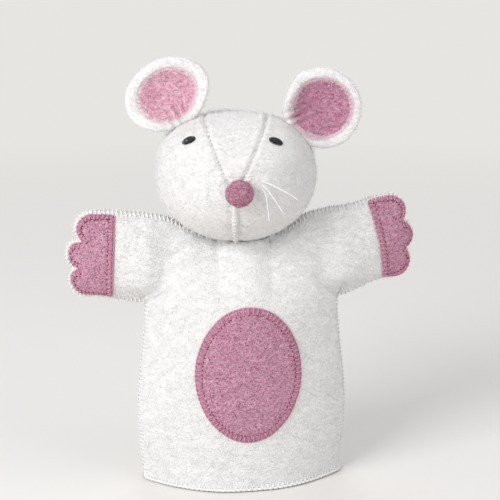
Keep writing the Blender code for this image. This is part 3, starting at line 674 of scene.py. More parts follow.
@dataclass(frozen=True)
class FeltFinish:
    """One wool felt: its dyes, how they are mixed, how much painted shade darkens the low places of its
    grain, and how coarse its fibres are.
    """

    name: str
    colour: tuple[int, int, int]
    pale: tuple[int, int, int]
    deep: tuple[int, int, int]
    patch: float = 90.0
    wisp: float = 420.0
    mottle: float = 0.45
    wisps: float = 0.45
    # How much painted shade darkens the grain's low places.
    hollows: float = 0.35
    strands: float = 0.45
    density: float = 1150.0
    bump: float = 0.0007
    sheen: float = 0.25
    stain: str = ""
    stain_colour: tuple[int, int, int] = (190, 125, 150)
    worn: str = ""
    worn_colour: tuple[int, int, int] = (244, 228, 234)

    def build(self) -> bpy.types.Material:
        """The finish as a node material on Object coordinates."""
        material, pen = blank_material(self.name)
        place = pen.add("ShaderNodeTexCoord").outputs["Object"]
        mottle = pen.group("wool_mottle", Vector=place, Patch=self.patch, Wisp=self.wisp)
        fibres = pen.group("matted_fibres", Vector=place, Density=self.density)
        share = pen.math("MULTIPLY", mottle.outputs["Mask"], self.mottle)
        colour = pen.mix(share, srgb(*self.colour), srgb(*self.deep))
        share = pen.math("MULTIPLY", mottle.outputs["Wisps"], self.wisps)
        colour = pen.mix(share, colour, srgb(*self.pale))
        # Partly painted shade: the deep colour mixed into the grain's low places, where the bump is low; on
        # the pink felts it also gives their darker flecks of wool.
        hollow = pen.math("MULTIPLY", fibres.outputs["Hollows"], self.hollows)
        colour = pen.mix(hollow, colour, srgb(*self.deep))
        share = pen.math("MULTIPLY", fibres.outputs["Strands"], self.strands)
        colour = pen.mix(share, colour, srgb(*self.pale))
        if self.stain:
            mask = pen.add("ShaderNodeAttribute", attribute_name=self.stain)
            loose = pen.math("MULTIPLY", mottle.outputs["Wisps"], 0.35)
            torn = pen.math("ADD", mask.outputs["Fac"], loose)
            torn = pen.math("MULTIPLY", torn, pen.ramp(mask.outputs["Fac"], 0.02, 0.3))
            torn = pen.ramp(torn, 0.25, 0.95)
            colour = pen.mix(torn, colour, srgb(*self.stain_colour))
        if self.worn:
            mask = pen.add("ShaderNodeAttribute", attribute_name=self.worn)
            strands = pen.math("MULTIPLY", fibres.outputs["Strands"], 0.5)
            loose = pen.math("ADD", strands, pen.math("MULTIPLY", mottle.outputs["Wisps"], 0.4))
            edge = pen.math("MULTIPLY", mask.outputs["Fac"], 1.3)
            torn = pen.math("ADD", edge, pen.math("MULTIPLY", loose, mask.outputs["Fac"]))
            torn = pen.ramp(torn, 0.55, 1.3)
            colour = pen.mix(torn, colour, srgb(*self.worn_colour))
        bump = pen.add("ShaderNodeBump", Strength=1.0, Distance=self.bump, Height=fibres.outputs["Height"])
        shader = pen.add(
            "ShaderNodeBsdfPrincipled", Roughness=0.95, Specular_IOR_Level=0.15, Sheen_Weight=self.sheen,
            Sheen_Roughness=0.6, Sheen_Tint=srgb(*self.pale), Base_Color=colour,
            Normal=bump.outputs["Normal"],
        )
        pen.add("ShaderNodeOutputMaterial", Surface=shader.outputs["BSDF"])
        return material


@dataclass(frozen=True)
class ThreadFinish:
    """One sewing or embroidery thread."""

    name: str
    colour: tuple[int, int, int]
    pale: tuple[int, int, int]
    roughness: float = 0.75
    bump: float = 0.00012
    sheen: float = 0.1

    def build(self) -> bpy.types.Material:
        """The finish as a node material on Object coordinates."""
        material, pen = blank_material(self.name)
        place = pen.add("ShaderNodeTexCoord").outputs["Object"]
        twist = pen.group("thread_twist", Vector=place, Plies=2600.0)
        bump = pen.add("ShaderNodeBump", Strength=0.8, Distance=self.bump, Height=twist.outputs["Height"])
        colour = pen.mix(twist.outputs["Shade"], srgb(*self.colour), srgb(*self.pale))
        shader = pen.add(
            "ShaderNodeBsdfPrincipled", Roughness=self.roughness, Specular_IOR_Level=0.35,
            Sheen_Weight=self.sheen, Base_Color=colour, Normal=bump.outputs["Normal"],
        )
        pen.add("ShaderNodeOutputMaterial", Surface=shader.outputs["BSDF"])
        return material


WHITE_FELT = FeltFinish("white_wool_felt", (240, 239, 237), (252, 251, 250), (204, 203, 205), mottle=0.35)
HEAD_FELT = FeltFinish("head_wool_felt", (241, 239, 237), (252, 251, 250), (206, 205, 206), mottle=0.3)
# The ears' pink stain is one felt painted twice: the left ear's paler pink is painted light, the right ear's
# darker pink painted shade.
EAR_FELT = FeltFinish(
    "ear_wool_felt", (243, 241, 240), (253, 252, 251), (212, 209, 210), bump=0.0005, sheen=0.35,
    stain="pink_wool", stain_colour=(216, 156, 180),
)
SHADED_RIGHT_EAR_FELT = FeltFinish(
    "right_ear_wool_felt", (243, 241, 240), (253, 252, 251), (212, 209, 210), bump=0.0005, sheen=0.35,
    stain="pink_wool", stain_colour=(192, 130, 156),
)
ROSE_FELT = FeltFinish(
    "rose_wool_felt", (184, 116, 143), (240, 196, 214), (116, 52, 86), patch=130.0, wisp=600.0,
    mottle=0.25, wisps=0.6, hollows=1.0, strands=0.7, density=1250.0,
)
# Ear linings: the left one's paler rose is painted light and the right one's darker rose painted shade; both
# also fade to a pale worn rim.
EAR_ROSE_FELT = FeltFinish(
    "ear_rose_wool_felt", (234, 166, 190), (252, 222, 232), (176, 98, 130), patch=110.0, wisp=300.0,
    mottle=0.5, wisps=0.55, hollows=0.85, strands=0.7, density=700.0, bump=0.0010,
    worn="worn_edge", worn_colour=(244, 228, 234),
)
SHADED_RIGHT_EAR_ROSE_FELT = FeltFinish(
    "right_ear_rose_wool_felt", (190, 124, 152), (226, 176, 196), (138, 76, 106), patch=110.0, wisp=300.0,
    mottle=0.5, wisps=0.5, hollows=0.95, strands=0.7, density=700.0, bump=0.0010,
    worn="worn_edge", worn_colour=(240, 222, 230),
)
NOSE_FELT = FeltFinish(
    "nose_wool_felt", (150, 80, 108), (230, 180, 198), (92, 36, 64), patch=240.0, wisp=800.0,
    mottle=0.5, wisps=0.5, hollows=0.95, strands=0.7, density=1000.0,
)
WOOL_FILLING = FeltFinish(
    "wool_filling", (228, 222, 210), (240, 236, 228), (200, 192, 178), density=500.0, bump=0.001
)
WOOL_FUZZ = ThreadFinish("loose_white_wool", (240, 239, 238), (252, 251, 250), roughness=0.9, bump=0.00001)
ROSE_FUZZ = ThreadFinish("loose_rose_wool", (206, 142, 168), (232, 186, 204), roughness=0.9, bump=0.00001)
WHITE_THREAD = ThreadFinish("white_sewing_thread", (232, 230, 228), (246, 245, 243))
ROSE_THREAD = ThreadFinish("rose_sewing_thread", (190, 122, 148), (216, 160, 182), bump=0.0002)
# Painted shade: a dark disc that stands for the shade inside each hole where the blanket stitch enters the
# felt.
HOLE_SHADE = ThreadFinish("dark_stitch_holes", (112, 30, 62), (136, 50, 82), roughness=0.9)
BLACK_THREAD = ThreadFinish("black_embroidery_thread", (16, 15, 18), (38, 36, 42), roughness=0.42, sheen=0.0)
WHISKER_THREAD = ThreadFinish("whisker_thread", (250, 250, 251), (255, 255, 255), roughness=0.6, bump=0.00001)


class Wardrobe:
    """Builds each finish once and puts it on pieces."""

    def __init__(self) -> None:
        """Makes the shared node groups."""
        for make in (wool_mottle_group, matted_fibre_group, twist_group):
            make()
        self.made: dict[str, bpy.types.Material] = {}

    def dress(self, piece: Piece, finish: FeltFinish | ThreadFinish, slot: str) -> Piece:
        """Gives a piece one finish; the record's material slot passed with it is not used."""
        if finish.name not in self.made:
            self.made[finish.name] = finish.build()
        piece.data.materials.clear()
        piece.data.materials.append(self.made[finish.name])
        return piece


# ---------------------------------------------------------------- the glove's cut and form


@dataclass(frozen=True)
class Crease:
    """A soft fold pressed into a sheet, from one flat place to another."""

    start: Flat
    end: Flat
    depth: float
    width: float

    def relief(self, x: float, z: float) -> float:
        """How far the felt stands out at a place because of the fold."""
        step = (self.end[0] - self.start[0], self.end[1] - self.start[1])
        length = math.hypot(*step)
        share = ((x - self.start[0]) * step[0] + (z - self.start[1]) * step[1]) / length**2
        off = abs((x - self.start[0]) * step[1] - (z - self.start[1]) * step[0]) / length
        if not -0.2 < share < 1.2 or off > 4 * self.width:
            return 0.0
        ends = smoothstep((share + 0.2) / 0.35) * smoothstep((1.2 - share) / 0.5)
        groove = bell(off, self.width) - 0.45 * bell(off - 1.9 * self.width, self.width)
        return -self.depth * ends * groove


@dataclass
class GloveCut:
    """Sizes of the glove's felt sheets and the form that they take, in metres."""

    hem_half_width: float = 0.0652
    belly_half_width: float = 0.0680
    belly_height: float = 0.0450
    armpit_half_width: float = 0.0620
    armpit_height: float = 0.1190
    body_half_depth: float = 0.0350
    chest_start: float = 0.0950
    body_fullness: float = 0.75
    chest_fullness: float = 0.60
    neck_top: float = 0.1545
    neck_radius: float = 0.0160
    neck_lean: float = -0.0022
    shoulder_rise: tuple[Flat, ...] = (
        (0.0, 0.0042), (0.004, 0.0068), (0.009, 0.0090), (0.014, 0.0118), (0.019, 0.0146),
        (0.024, 0.0172), (0.028, 0.0190), (0.033, 0.0205),
    )
    shoulder_top: float = 0.1775
    paw_tip: float = 0.1120
    paw_top: float = 0.1825
    paw_bottom: float = 0.1275
    arm_half_depth: float = 0.0160
    arm_fullness: float = 0.70
    arm_tip_fullness: float = 0.60
    arm_blend_start: float = 0.65
    arm_blend_height: float = 0.0165
    collar_rises: dict[Face, float] = field(default_factory=lambda: {Face.FRONT: 0.0016, Face.BACK: 0.0046})
    collar_reach: float = 0.012
    collar_height: float = 0.014
    hem_curl: float = 0.0012
    hem_curl_height: float = 0.008
    lip_width: float = 0.0011
    fold_near: float = 0.0660
    fold_far: float = 0.0800
    fold_low: float = 0.105
    fold_high: float = 0.205
    finger_radii: tuple[float, ...] = (0.0110, 0.0105, 0.0112)
    finger_setbacks: tuple[float, ...] = (0.0055, 0.0, 0.0015)
    arm_rises: dict[Side, float] = field(default_factory=lambda: {Side.LEFT: -0.0030, Side.RIGHT: 0.0025})
    creases: tuple[Crease, ...] = (
        Crease((-0.0625, 0.1180), (-0.0440, 0.1310), 0.0013, 0.0017),
        Crease((0.0625, 0.1190), (0.0470, 0.1330), 0.0010, 0.0017),
        Crease((-0.0600, 0.1120), (-0.0500, 0.0900), 0.0007, 0.0026),
        Crease((0.0610, 0.1130), (0.0520, 0.0880), 0.0007, 0.0026),
        Crease((-0.0350, 0.1560), (-0.0520, 0.1480), 0.0008, 0.0024),
        Crease((0.0330, 0.1560), (0.0500, 0.1480), 0.0008, 0.0024),
    )

    def paw_share(self, x: float) -> float:
        """How far out along the arm a place is, from the armpit to the paw."""
        middle = self.paw_tip - self.finger_radii[1] - self.finger_setbacks[0]
        return smoothstep((abs(x) - self.armpit_half_width) / (middle - self.armpit_half_width))

    def arm_rise(self, x: float) -> float:
        """The arms stand at slightly different heights."""
        return self.arm_rises[Side.LEFT if x < 0 else Side.RIGHT] * self.paw_share(x)

    def shoulder_line(self, x: float) -> float:
        """Height of the glove's upper edge."""
        out = abs(x - self.neck_lean) - self.neck_radius
        last_out, last_rise = self.shoulder_rise[-1]
        if out <= last_out:
            steps = list(zip(*self.shoulder_rise))
            return self.neck_top + float(np.interp(max(out, 0.0), *steps))
        share = (out - last_out) / (self.armpit_half_width - self.neck_radius - last_out)
        shoulder = lerp(self.neck_top + last_rise, self.shoulder_top, min(share, 1.0))
        return lerp(shoulder, self.paw_top, self.paw_share(x)) + self.arm_rise(x)

    def arm_underside(self, x: float) -> float:
        """Height of the arm's lower edge."""
        return lerp(self.armpit_height, self.paw_bottom, self.paw_share(x)) + self.arm_rise(x)

    def side_line(self, z: float) -> float:
        """Half width of the body at a height."""
        if z <= self.belly_height:
            return lerp(self.hem_half_width, self.belly_half_width, smoothstep(z / self.belly_height))
        share = (z - self.belly_height) / (self.armpit_height - self.belly_height)
        return lerp(self.belly_half_width, self.armpit_half_width, smoothstep(share))

    def body_depth(self, x: float, z: float) -> float:
        """How far the body's felt stands from the seam plane."""
        across = max(1 - (x / self.side_line(z)) ** 2, 0.0) ** self.body_fullness
        up = (z - self.chest_start) / (self.shoulder_line(x) - self.chest_start)
        closing = (1 - min(max(up, 0.0), 1.0) ** 2) ** self.chest_fullness
        neck = self.neck_radius / self.body_half_depth * math.sqrt(max(1 - (x / self.neck_radius) ** 2, 0.0))
        if z > self.chest_start:
            closing = math.sqrt(neck**2 + (1 - neck**2) * closing**2)
        return self.body_half_depth * across * closing

    def arm_depth(self, x: float, z: float) -> float:
        """How far the arm's felt stands from the seam plane."""
        middle = (self.shoulder_line(x) + self.arm_underside(x)) / 2
        half = (self.shoulder_line(x) - self.arm_underside(x)) / 2
        across = max(1 - ((z - middle) / half) ** 2, 0.0) ** self.arm_fullness
        tip = self.paw_tip - self.finger_radii[1] / 2
        reach = (abs(x) - self.armpit_half_width) / (tip - self.armpit_half_width)
        return self.arm_half_depth * across * max(1 - max(reach, 0.0), 0.0) ** self.arm_tip_fullness

    def depth(self, x: float, z: float) -> float:
        """How far the felt stands from the seam plane, body and arm together."""
        blend_from = self.arm_blend_start * self.armpit_half_width
        share = smoothstep((abs(x) - blend_from) / (self.armpit_half_width - blend_from))
        share *= smoothstep((z - self.armpit_height) / self.arm_blend_height)
        body = self.body_depth(x, z) if share < 1 else 0.0
        arm = self.arm_depth(x, z) if share > 0 else 0.0
        return lerp(body, arm, share)

    def finger_outline(self, side: Side, margin: float) -> list[Flat]:
        """The three rounded fingers, from the top one's crown to the lowest one's sole.

        Args:
            side: which paw.
            margin: how far the line lies inside the white felt.

        Returns:
            Points as (distance from the middle, height).
        """
        radii = [radius - margin for radius in self.finger_radii]
        rise = self.arm_rises[side]
        xs = [self.paw_tip - back - radius for back, radius in zip(self.finger_setbacks, self.finger_radii)]
        top = self.paw_top - self.finger_radii[0]
        low = self.paw_bottom + self.finger_radii[2]
        middle = (top + low) / 2 + (self.finger_radii[2] - self.finger_radii[0]) / 2
        centres = [(x, z + rise) for x, z in zip(xs, (top, middle, low))]
        spans = []
        for (first, r1), (second, r2) in zip(zip(centres, radii), zip(centres[1:], radii[1:])):
            gap = math.dist(first, second)
            base = math.atan2(second[1] - first[1], second[0] - first[0])
            share = (gap**2 + r1**2 - r2**2) / (2 * gap * r1)
            other = (gap**2 + r2**2 - r1**2) / (2 * gap * r2)
            spans.append((base + math.acos(min(share, 0.98)), base + math.pi - math.acos(min(other, 0.98))))
        limits = ((math.pi / 2, spans[0][0]), (spans[0][1], spans[1][0]), (spans[1][1], -math.pi / 2))
        line = []
        for (x, z), radius, (start, stop) in zip(centres, radii, limits):
            for step in range(13):
                turn = lerp(start, stop, step / 12)
                line.append((x + radius * math.cos(turn), z + radius * math.sin(turn)))
        return line

    def half_outline(self, side: Side) -> list[Flat]:
        """One half of the sheet's edge, from the hem's corner up round the paw to the neck."""
        sign = side.value
        line = [(self.side_line(z), z) for z in np.linspace(0.0, self.armpit_height, 60)]
        fingers = self.finger_outline(side, 0.0)
        under = np.linspace(self.armpit_half_width, fingers[-1][0], 25)[1:-1]
        line += [(x, self.arm_underside(sign * x)) for x in under]
        line += fingers[::-1]
        over = np.linspace(fingers[0][0], 0.0, 90)[1:]
        line += [(x, self.shoulder_line(sign * x)) for x in over]
        return [(sign * x, z) for x, z in line]

    def outline(self) -> list[Flat]:
        """The whole sheet's edge, evenly spread, with its corners eased."""
        right = self.half_outline(Side.RIGHT)
        left = self.half_outline(Side.LEFT)
        spread = resample(right + left[::-1][1:], 0.0011)
        eased = soften(spread, 3)
        return [(x, 0.0) if 0 <= old_z < 1e-6 else (x, z) for (x, z), (_, old_z) in zip(eased, spread)]

    def pad_outline(self, side: Side, cuff: tuple[float, float], margin: float = 0.0016) -> list[Flat]:
        """The pink paw front's edge: a straight cuff and the three fingers."""
        room = self.paw_tip - self.finger_setbacks[2] - self.finger_radii[2] - self.fold_far - SEAM_GAP / 2
        top_x, bottom_x = (self.fold_far + SEAM_GAP / 2 + share * room for share in cuff)
        fingers = self.finger_outline(side, margin)
        sign = side.value
        over = np.linspace(top_x, fingers[0][0], 8)[:-1]
        under = np.linspace(fingers[-1][0], bottom_x, 8)[1:]
        upper = [(x, self.shoulder_line(sign * x) - margin) for x in over]
        lower = [(x, self.arm_underside(sign * x) + margin) for x in under]
        return [(sign * x, z) for x, z in upper + fingers + lower]

    def relief(self, x: float, z: float, face: Face) -> float:
        """Lumps and folds of the white felt, outwards."""
        place = Vector((x, face.value * 0.05, z))
        found = lumps(place, (0.030, 0.0011), (0.012, 0.0005), (0.0045, 0.00022), (0.0024, 0.0001))
        if face is Face.FRONT:
            found += sum(crease.relief(x, z) for crease in self.creases)
        return found

    def seam_distance(self, points: np.ndarray) -> np.ndarray:
        """How far flat places are from the sewn edges; the hem and the neck are open."""
        lines = []
        for side in Side:
            half = resample(self.half_outline(side), 0.0011, closed=False)
            lines.append([(x, z) for x, z in half if abs(x) > self.neck_radius + 0.004])
        return np.minimum(*(edge_distance(points, line, closed=False) for line in lines))

    def out_direction(self, x: float, z: float, rim: float, face: Face) -> Vector:
        """The felt's outward direction; it turns to the front or back at a sewn edge."""
        step = 0.0004
        slope_x = (self.depth(x + step, z) - self.depth(x - step, z)) / (2 * step)
        slope_z = (self.depth(x, z + step) - self.depth(x, z - step)) / (2 * step)
        ease = smoothstep(rim / 0.006)
        return Vector((-slope_x * ease, face.value, -slope_z * ease)).normalized()

    def surface(self, x: float, z: float, rim: float, face: Face, lift: float) -> tuple[Vector, Vector]:
        """A place on the glove and the direction out of it.

        Args:
            x: place across the glove.
            z: height.
            rim: distance from the nearest sewn edge.
            face: front or back sheet.
            lift: distance from the sheet's inner face.

        Returns:
            The place and the outward direction.
        """
        out = self.out_direction(x, z, rim, face)
        lip = 1 - math.exp(-rim / self.lip_width)
        deep = EDGE_GAP + (SEAM_GAP / 2 + self.depth(x, z)) * lip
        collar = self.collar_rises[face]
        collar *= 1 - smoothstep((abs(x - self.neck_lean) - self.neck_radius) / self.collar_reach)
        collar *= smoothstep((z - self.neck_top + self.collar_reach) / self.collar_height)
        curl = self.hem_curl * (0.6 + 0.4 * ripple(x * 70, face.value, 0.0))
        curl = collar + curl * (1 - smoothstep(z / self.hem_curl_height))
        place = Vector((x, SEAM_PLANE + face.value * deep, z + curl))
        return place + out * (lift + self.relief(x, z, face) * smoothstep(rim / 0.005)), out


@dataclass
class FeltPlan:
    """A flat cut of felt as even triangles, finer along its edge."""

    outline: list[Flat]
    spacing: float = 0.0015
    rings: tuple[float, ...] = (0.00025, 0.0007, 0.0013)
    cuts: tuple[tuple[Flat, Flat], ...] = ()
    points: np.ndarray = field(init=False)
    triangles: np.ndarray = field(init=False)
    rim: np.ndarray = field(init=False)

    def __post_init__(self) -> None:
        """Spreads the points and joins them."""
        edge = np.array(self.outline)
        count = len(edge)
        wanted = [edge]
        heading = inward(self.outline)
        for depth in self.rings:
            ring = edge + heading * depth
            ring = ring[inside(ring, self.outline)]
            wanted.append(ring[edge_distance(ring, self.outline) > 0.85 * depth])
        low, high = edge.min(0), edge.max(0)
        row = self.spacing * math.sqrt(3) / 2
        grid = []
        for index, z in enumerate(np.arange(low[1], high[1], row)):
            shift = self.spacing / 2 * (index % 2)
            grid += [(x + shift, z) for x in np.arange(low[0], high[0], self.spacing)]
        grid = np.array(grid)
        grid = grid[inside(grid, self.outline)]
        grid = grid[edge_distance(grid, self.outline) > self.rings[-1] + 0.55 * self.spacing]
        for (x0, z0), (_, z1) in self.cuts:
            near = (abs(grid[:, 0] - x0) < 0.45 * self.spacing) & (grid[:, 1] > z0) & (grid[:, 1] < z1)
            grid = grid[~near]
        wanted.append(grid)
        points = np.concatenate(wanted)
        edges = [(i, (i + 1) % count) for i in range(count)]
        extra = []
        for (x0, z0), (_, z1) in self.cuts:
            first = len(points) + len(extra)
            stops = np.arange(z0, z1, self.spacing * 0.8)
            extra += [(x0, z) for z in stops]
            edges += [(first + i, first + i + 1) for i in range(len(stops) - 1)]
        if extra:
            points = np.concatenate([points, np.array(extra)])
        flat = [Vector((x * 1000, z * 1000)) for x, z in points]
        found, _, faces, _, _, _ = geometry.delaunay_2d_cdt(flat, edges, [], 1, 1e-4)
        self.points = np.array([(p.x, p.y) for p in found]) / 1000
        middles = np.array([self.points[list(face)].mean(0) for face in faces])
        kept = inside(middles, self.outline)
        self.triangles = np.array([face for face, keep in zip(faces, kept) if keep])
        a, b, c = (self.points[self.triangles[:, i]] for i in range(3))
        turned = (b[:, 0] - a[:, 0]) * (c[:, 1] - a[:, 1]) - (b[:, 1] - a[:, 1]) * (c[:, 0] - a[:, 0]) < 0
        self.triangles[turned] = self.triangles[turned][:, ::-1]
        self.rim = edge_distance(self.points, self.outline)

    def sheet(
        self,
        name: str,
        inner: np.ndarray,
        outer: np.ndarray,
        face: Face,
        chosen: np.ndarray | None = None,
        normals: np.ndarray | None = None,
    ) -> Piece:
        """A closed felt piece from this plan.

        Args:
            name: the piece's name.
            inner: places of the plan's points on the inner face.
            outer: places of the plan's points on the outer face.
            face: front or back sheet.
            chosen: which triangles belong to the piece, or all.
            normals: smooth normals of the whole sheet, outer points first, so that no cut shows.

        Returns:
            The piece, flat-shaded only on walls that are cuts inside the plan.
        """
        triangles = self.triangles if chosen is None else self.triangles[chosen]
        if face is Face.BACK:
            triangles = triangles[:, ::-1]
        used, index = np.unique(triangles, return_inverse=True)
        triangles = index.reshape(-1, 3)
        count = len(used)
        faces = [tuple(t) for t in triangles] + [tuple(t[::-1] + count) for t in triangles]
        directed = {(t[i], t[(i + 1) % 3]) for t in triangles for i in range(3)}
        walls, flat_from = [], []
        for a, b in directed:
            if (b, a) not in directed:
                walls.append((b, a, a + count, b + count))
                flat_from.append(self.rim[used[a]] + self.rim[used[b]] > 0.0001)
        piece = from_points(name, np.concatenate([outer[used], inner[used]]), faces + walls)
        for offset, flat in enumerate(flat_from):
            if flat:
                piece.data.polygons[len(faces) + offset].use_smooth = False
        if normals is not None:
            rows = np.concatenate([used, used + len(self.points)])
            shaded = []
            for polygon in piece.data.polygons:
                for corner in polygon.vertices:
                    shaded.append(normals[rows[corner]] if polygon.use_smooth else polygon.normal)
            piece.data.normals_split_custom_set(np.array(shaded))
        return piece


class Glove:
    """The white felt glove: body, shoulder folds and arms, front and back."""

    cut = GloveCut()

    def __init__(self, wardrobe: Wardrobe) -> None:
        """Args: wardrobe: the finishes to dress pieces in."""
        self.wardrobe = wardrobe
        cut = self.cut
        lines = []
        for x, sign in itertools.product((cut.fold_near, cut.fold_far), (-1, 1)):
            lines.append(((sign * x, cut.fold_low), (sign * x, cut.fold_high)))
        self.edge = cut.outline()
        self.plan = FeltPlan(self.edge, 0.00155, cuts=tuple(lines))

    def ends(self, side: Side, near: bool) -> dict[str, tuple[float, float, float]]:
        """Where a piece would start and stop bending: at the shoulder fold, or past it; nothing in the script
        bends a piece with them.
        """
        cut = self.cut
        first, last = (cut.fold_near, cut.fold_far) if near else (cut.fold_far, cut.fold_far + 0.012)
        return {
            "start": (side.value * first, SEAM_PLANE, 0.15),
            "end": (side.value * last, SEAM_PLANE, 0.15),
        }

    def follow(self, piece: Piece, zone: str, side: Side | None = None) -> Piece:
        """Ties a body piece to the glove so that it moves with it; a fold or arm piece only has its place
        moved into its mesh and rides on nothing.

        Args:
            piece: the finished piece.
            zone: "body", "fold" or "arm".
            side: not used.
        """
        if zone == "body":
            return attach(piece, "glove")
        if zone == "fold":
            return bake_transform(piece)
        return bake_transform(piece)

    def zone_of(self, x: float, z: float) -> tuple[str, Side | None]:
        """The zone of the glove that a place lies in."""
        side = Side.LEFT if x < 0 else Side.RIGHT
        if abs(x) < self.cut.fold_near or z < 0.110:
            return "body", None
        return ("fold", side) if abs(x) < self.cut.fold_far else ("arm", side)

    def build(self) -> None:
        """Makes the ten white felt pieces."""
        seams = self.cut.seam_distance(self.plan.points)
        for face in Face:
            inner, outer = [], []
            for (x, z), rim, seam in zip(self.plan.points, self.plan.rim, seams):
                place, out = self.cut.surface(x, z, seam, face, 0.0)
                inner.append(place)
                outer.append(place + out * rounded(FELT, rim, EDGE_ROUND, EDGE_THIN))
            inner, outer = np.array(inner), np.array(outer)
            whole = self.plan.sheet(f"whole_{face.name.lower()}", inner, outer, face)
            count, used = len(self.plan.points), np.unique(self.plan.triangles)
            normals = np.zeros((2 * count, 3))
            normals[np.concatenate([used, used + count])] = normals_of(whole)
            bpy.data.objects.remove(whole)
            middles = self.plan.points[self.plan.triangles].mean(1)
            zones = [self.zone_of(x, z) for x, z in middles]
            word = face.name.lower()
            for zone, side in (("body", None), *itertools.product(("fold", "arm"), Side)):
                chosen = np.array([found == (zone, side) for found in zones])
                if zone == "body":
                    name, nodes = f"glove_{word}", (f"body_{word}_panel", f"neck_fold_{word}")
                elif zone == "fold":
                    name, nodes = f"{side.word}_shoulder_{word}", (f"{side.word}_shoulder_fold_{word}",)
                else:
                    name, nodes = f"{side.word}_sleeve_{word}", (f"{side.word}_arm_{word}",)
                piece = self.plan.sheet(name, inner, outer, face, chosen, normals)
                self.wardrobe.dress(piece, WHITE_FELT, "white_felt")
                self.follow(piece, zone, side)
                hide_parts(*nodes)
                loose = fuzz(f"{name}_fuzz", piece, FIBRES[zone], 0.0023, face.value)
                self.wardrobe.dress(loose, WOOL_FUZZ, "white_felt")
                self.follow(loose, zone, side)
                log.info("white felt %s: %d faces", name, len(piece.data.polygons))


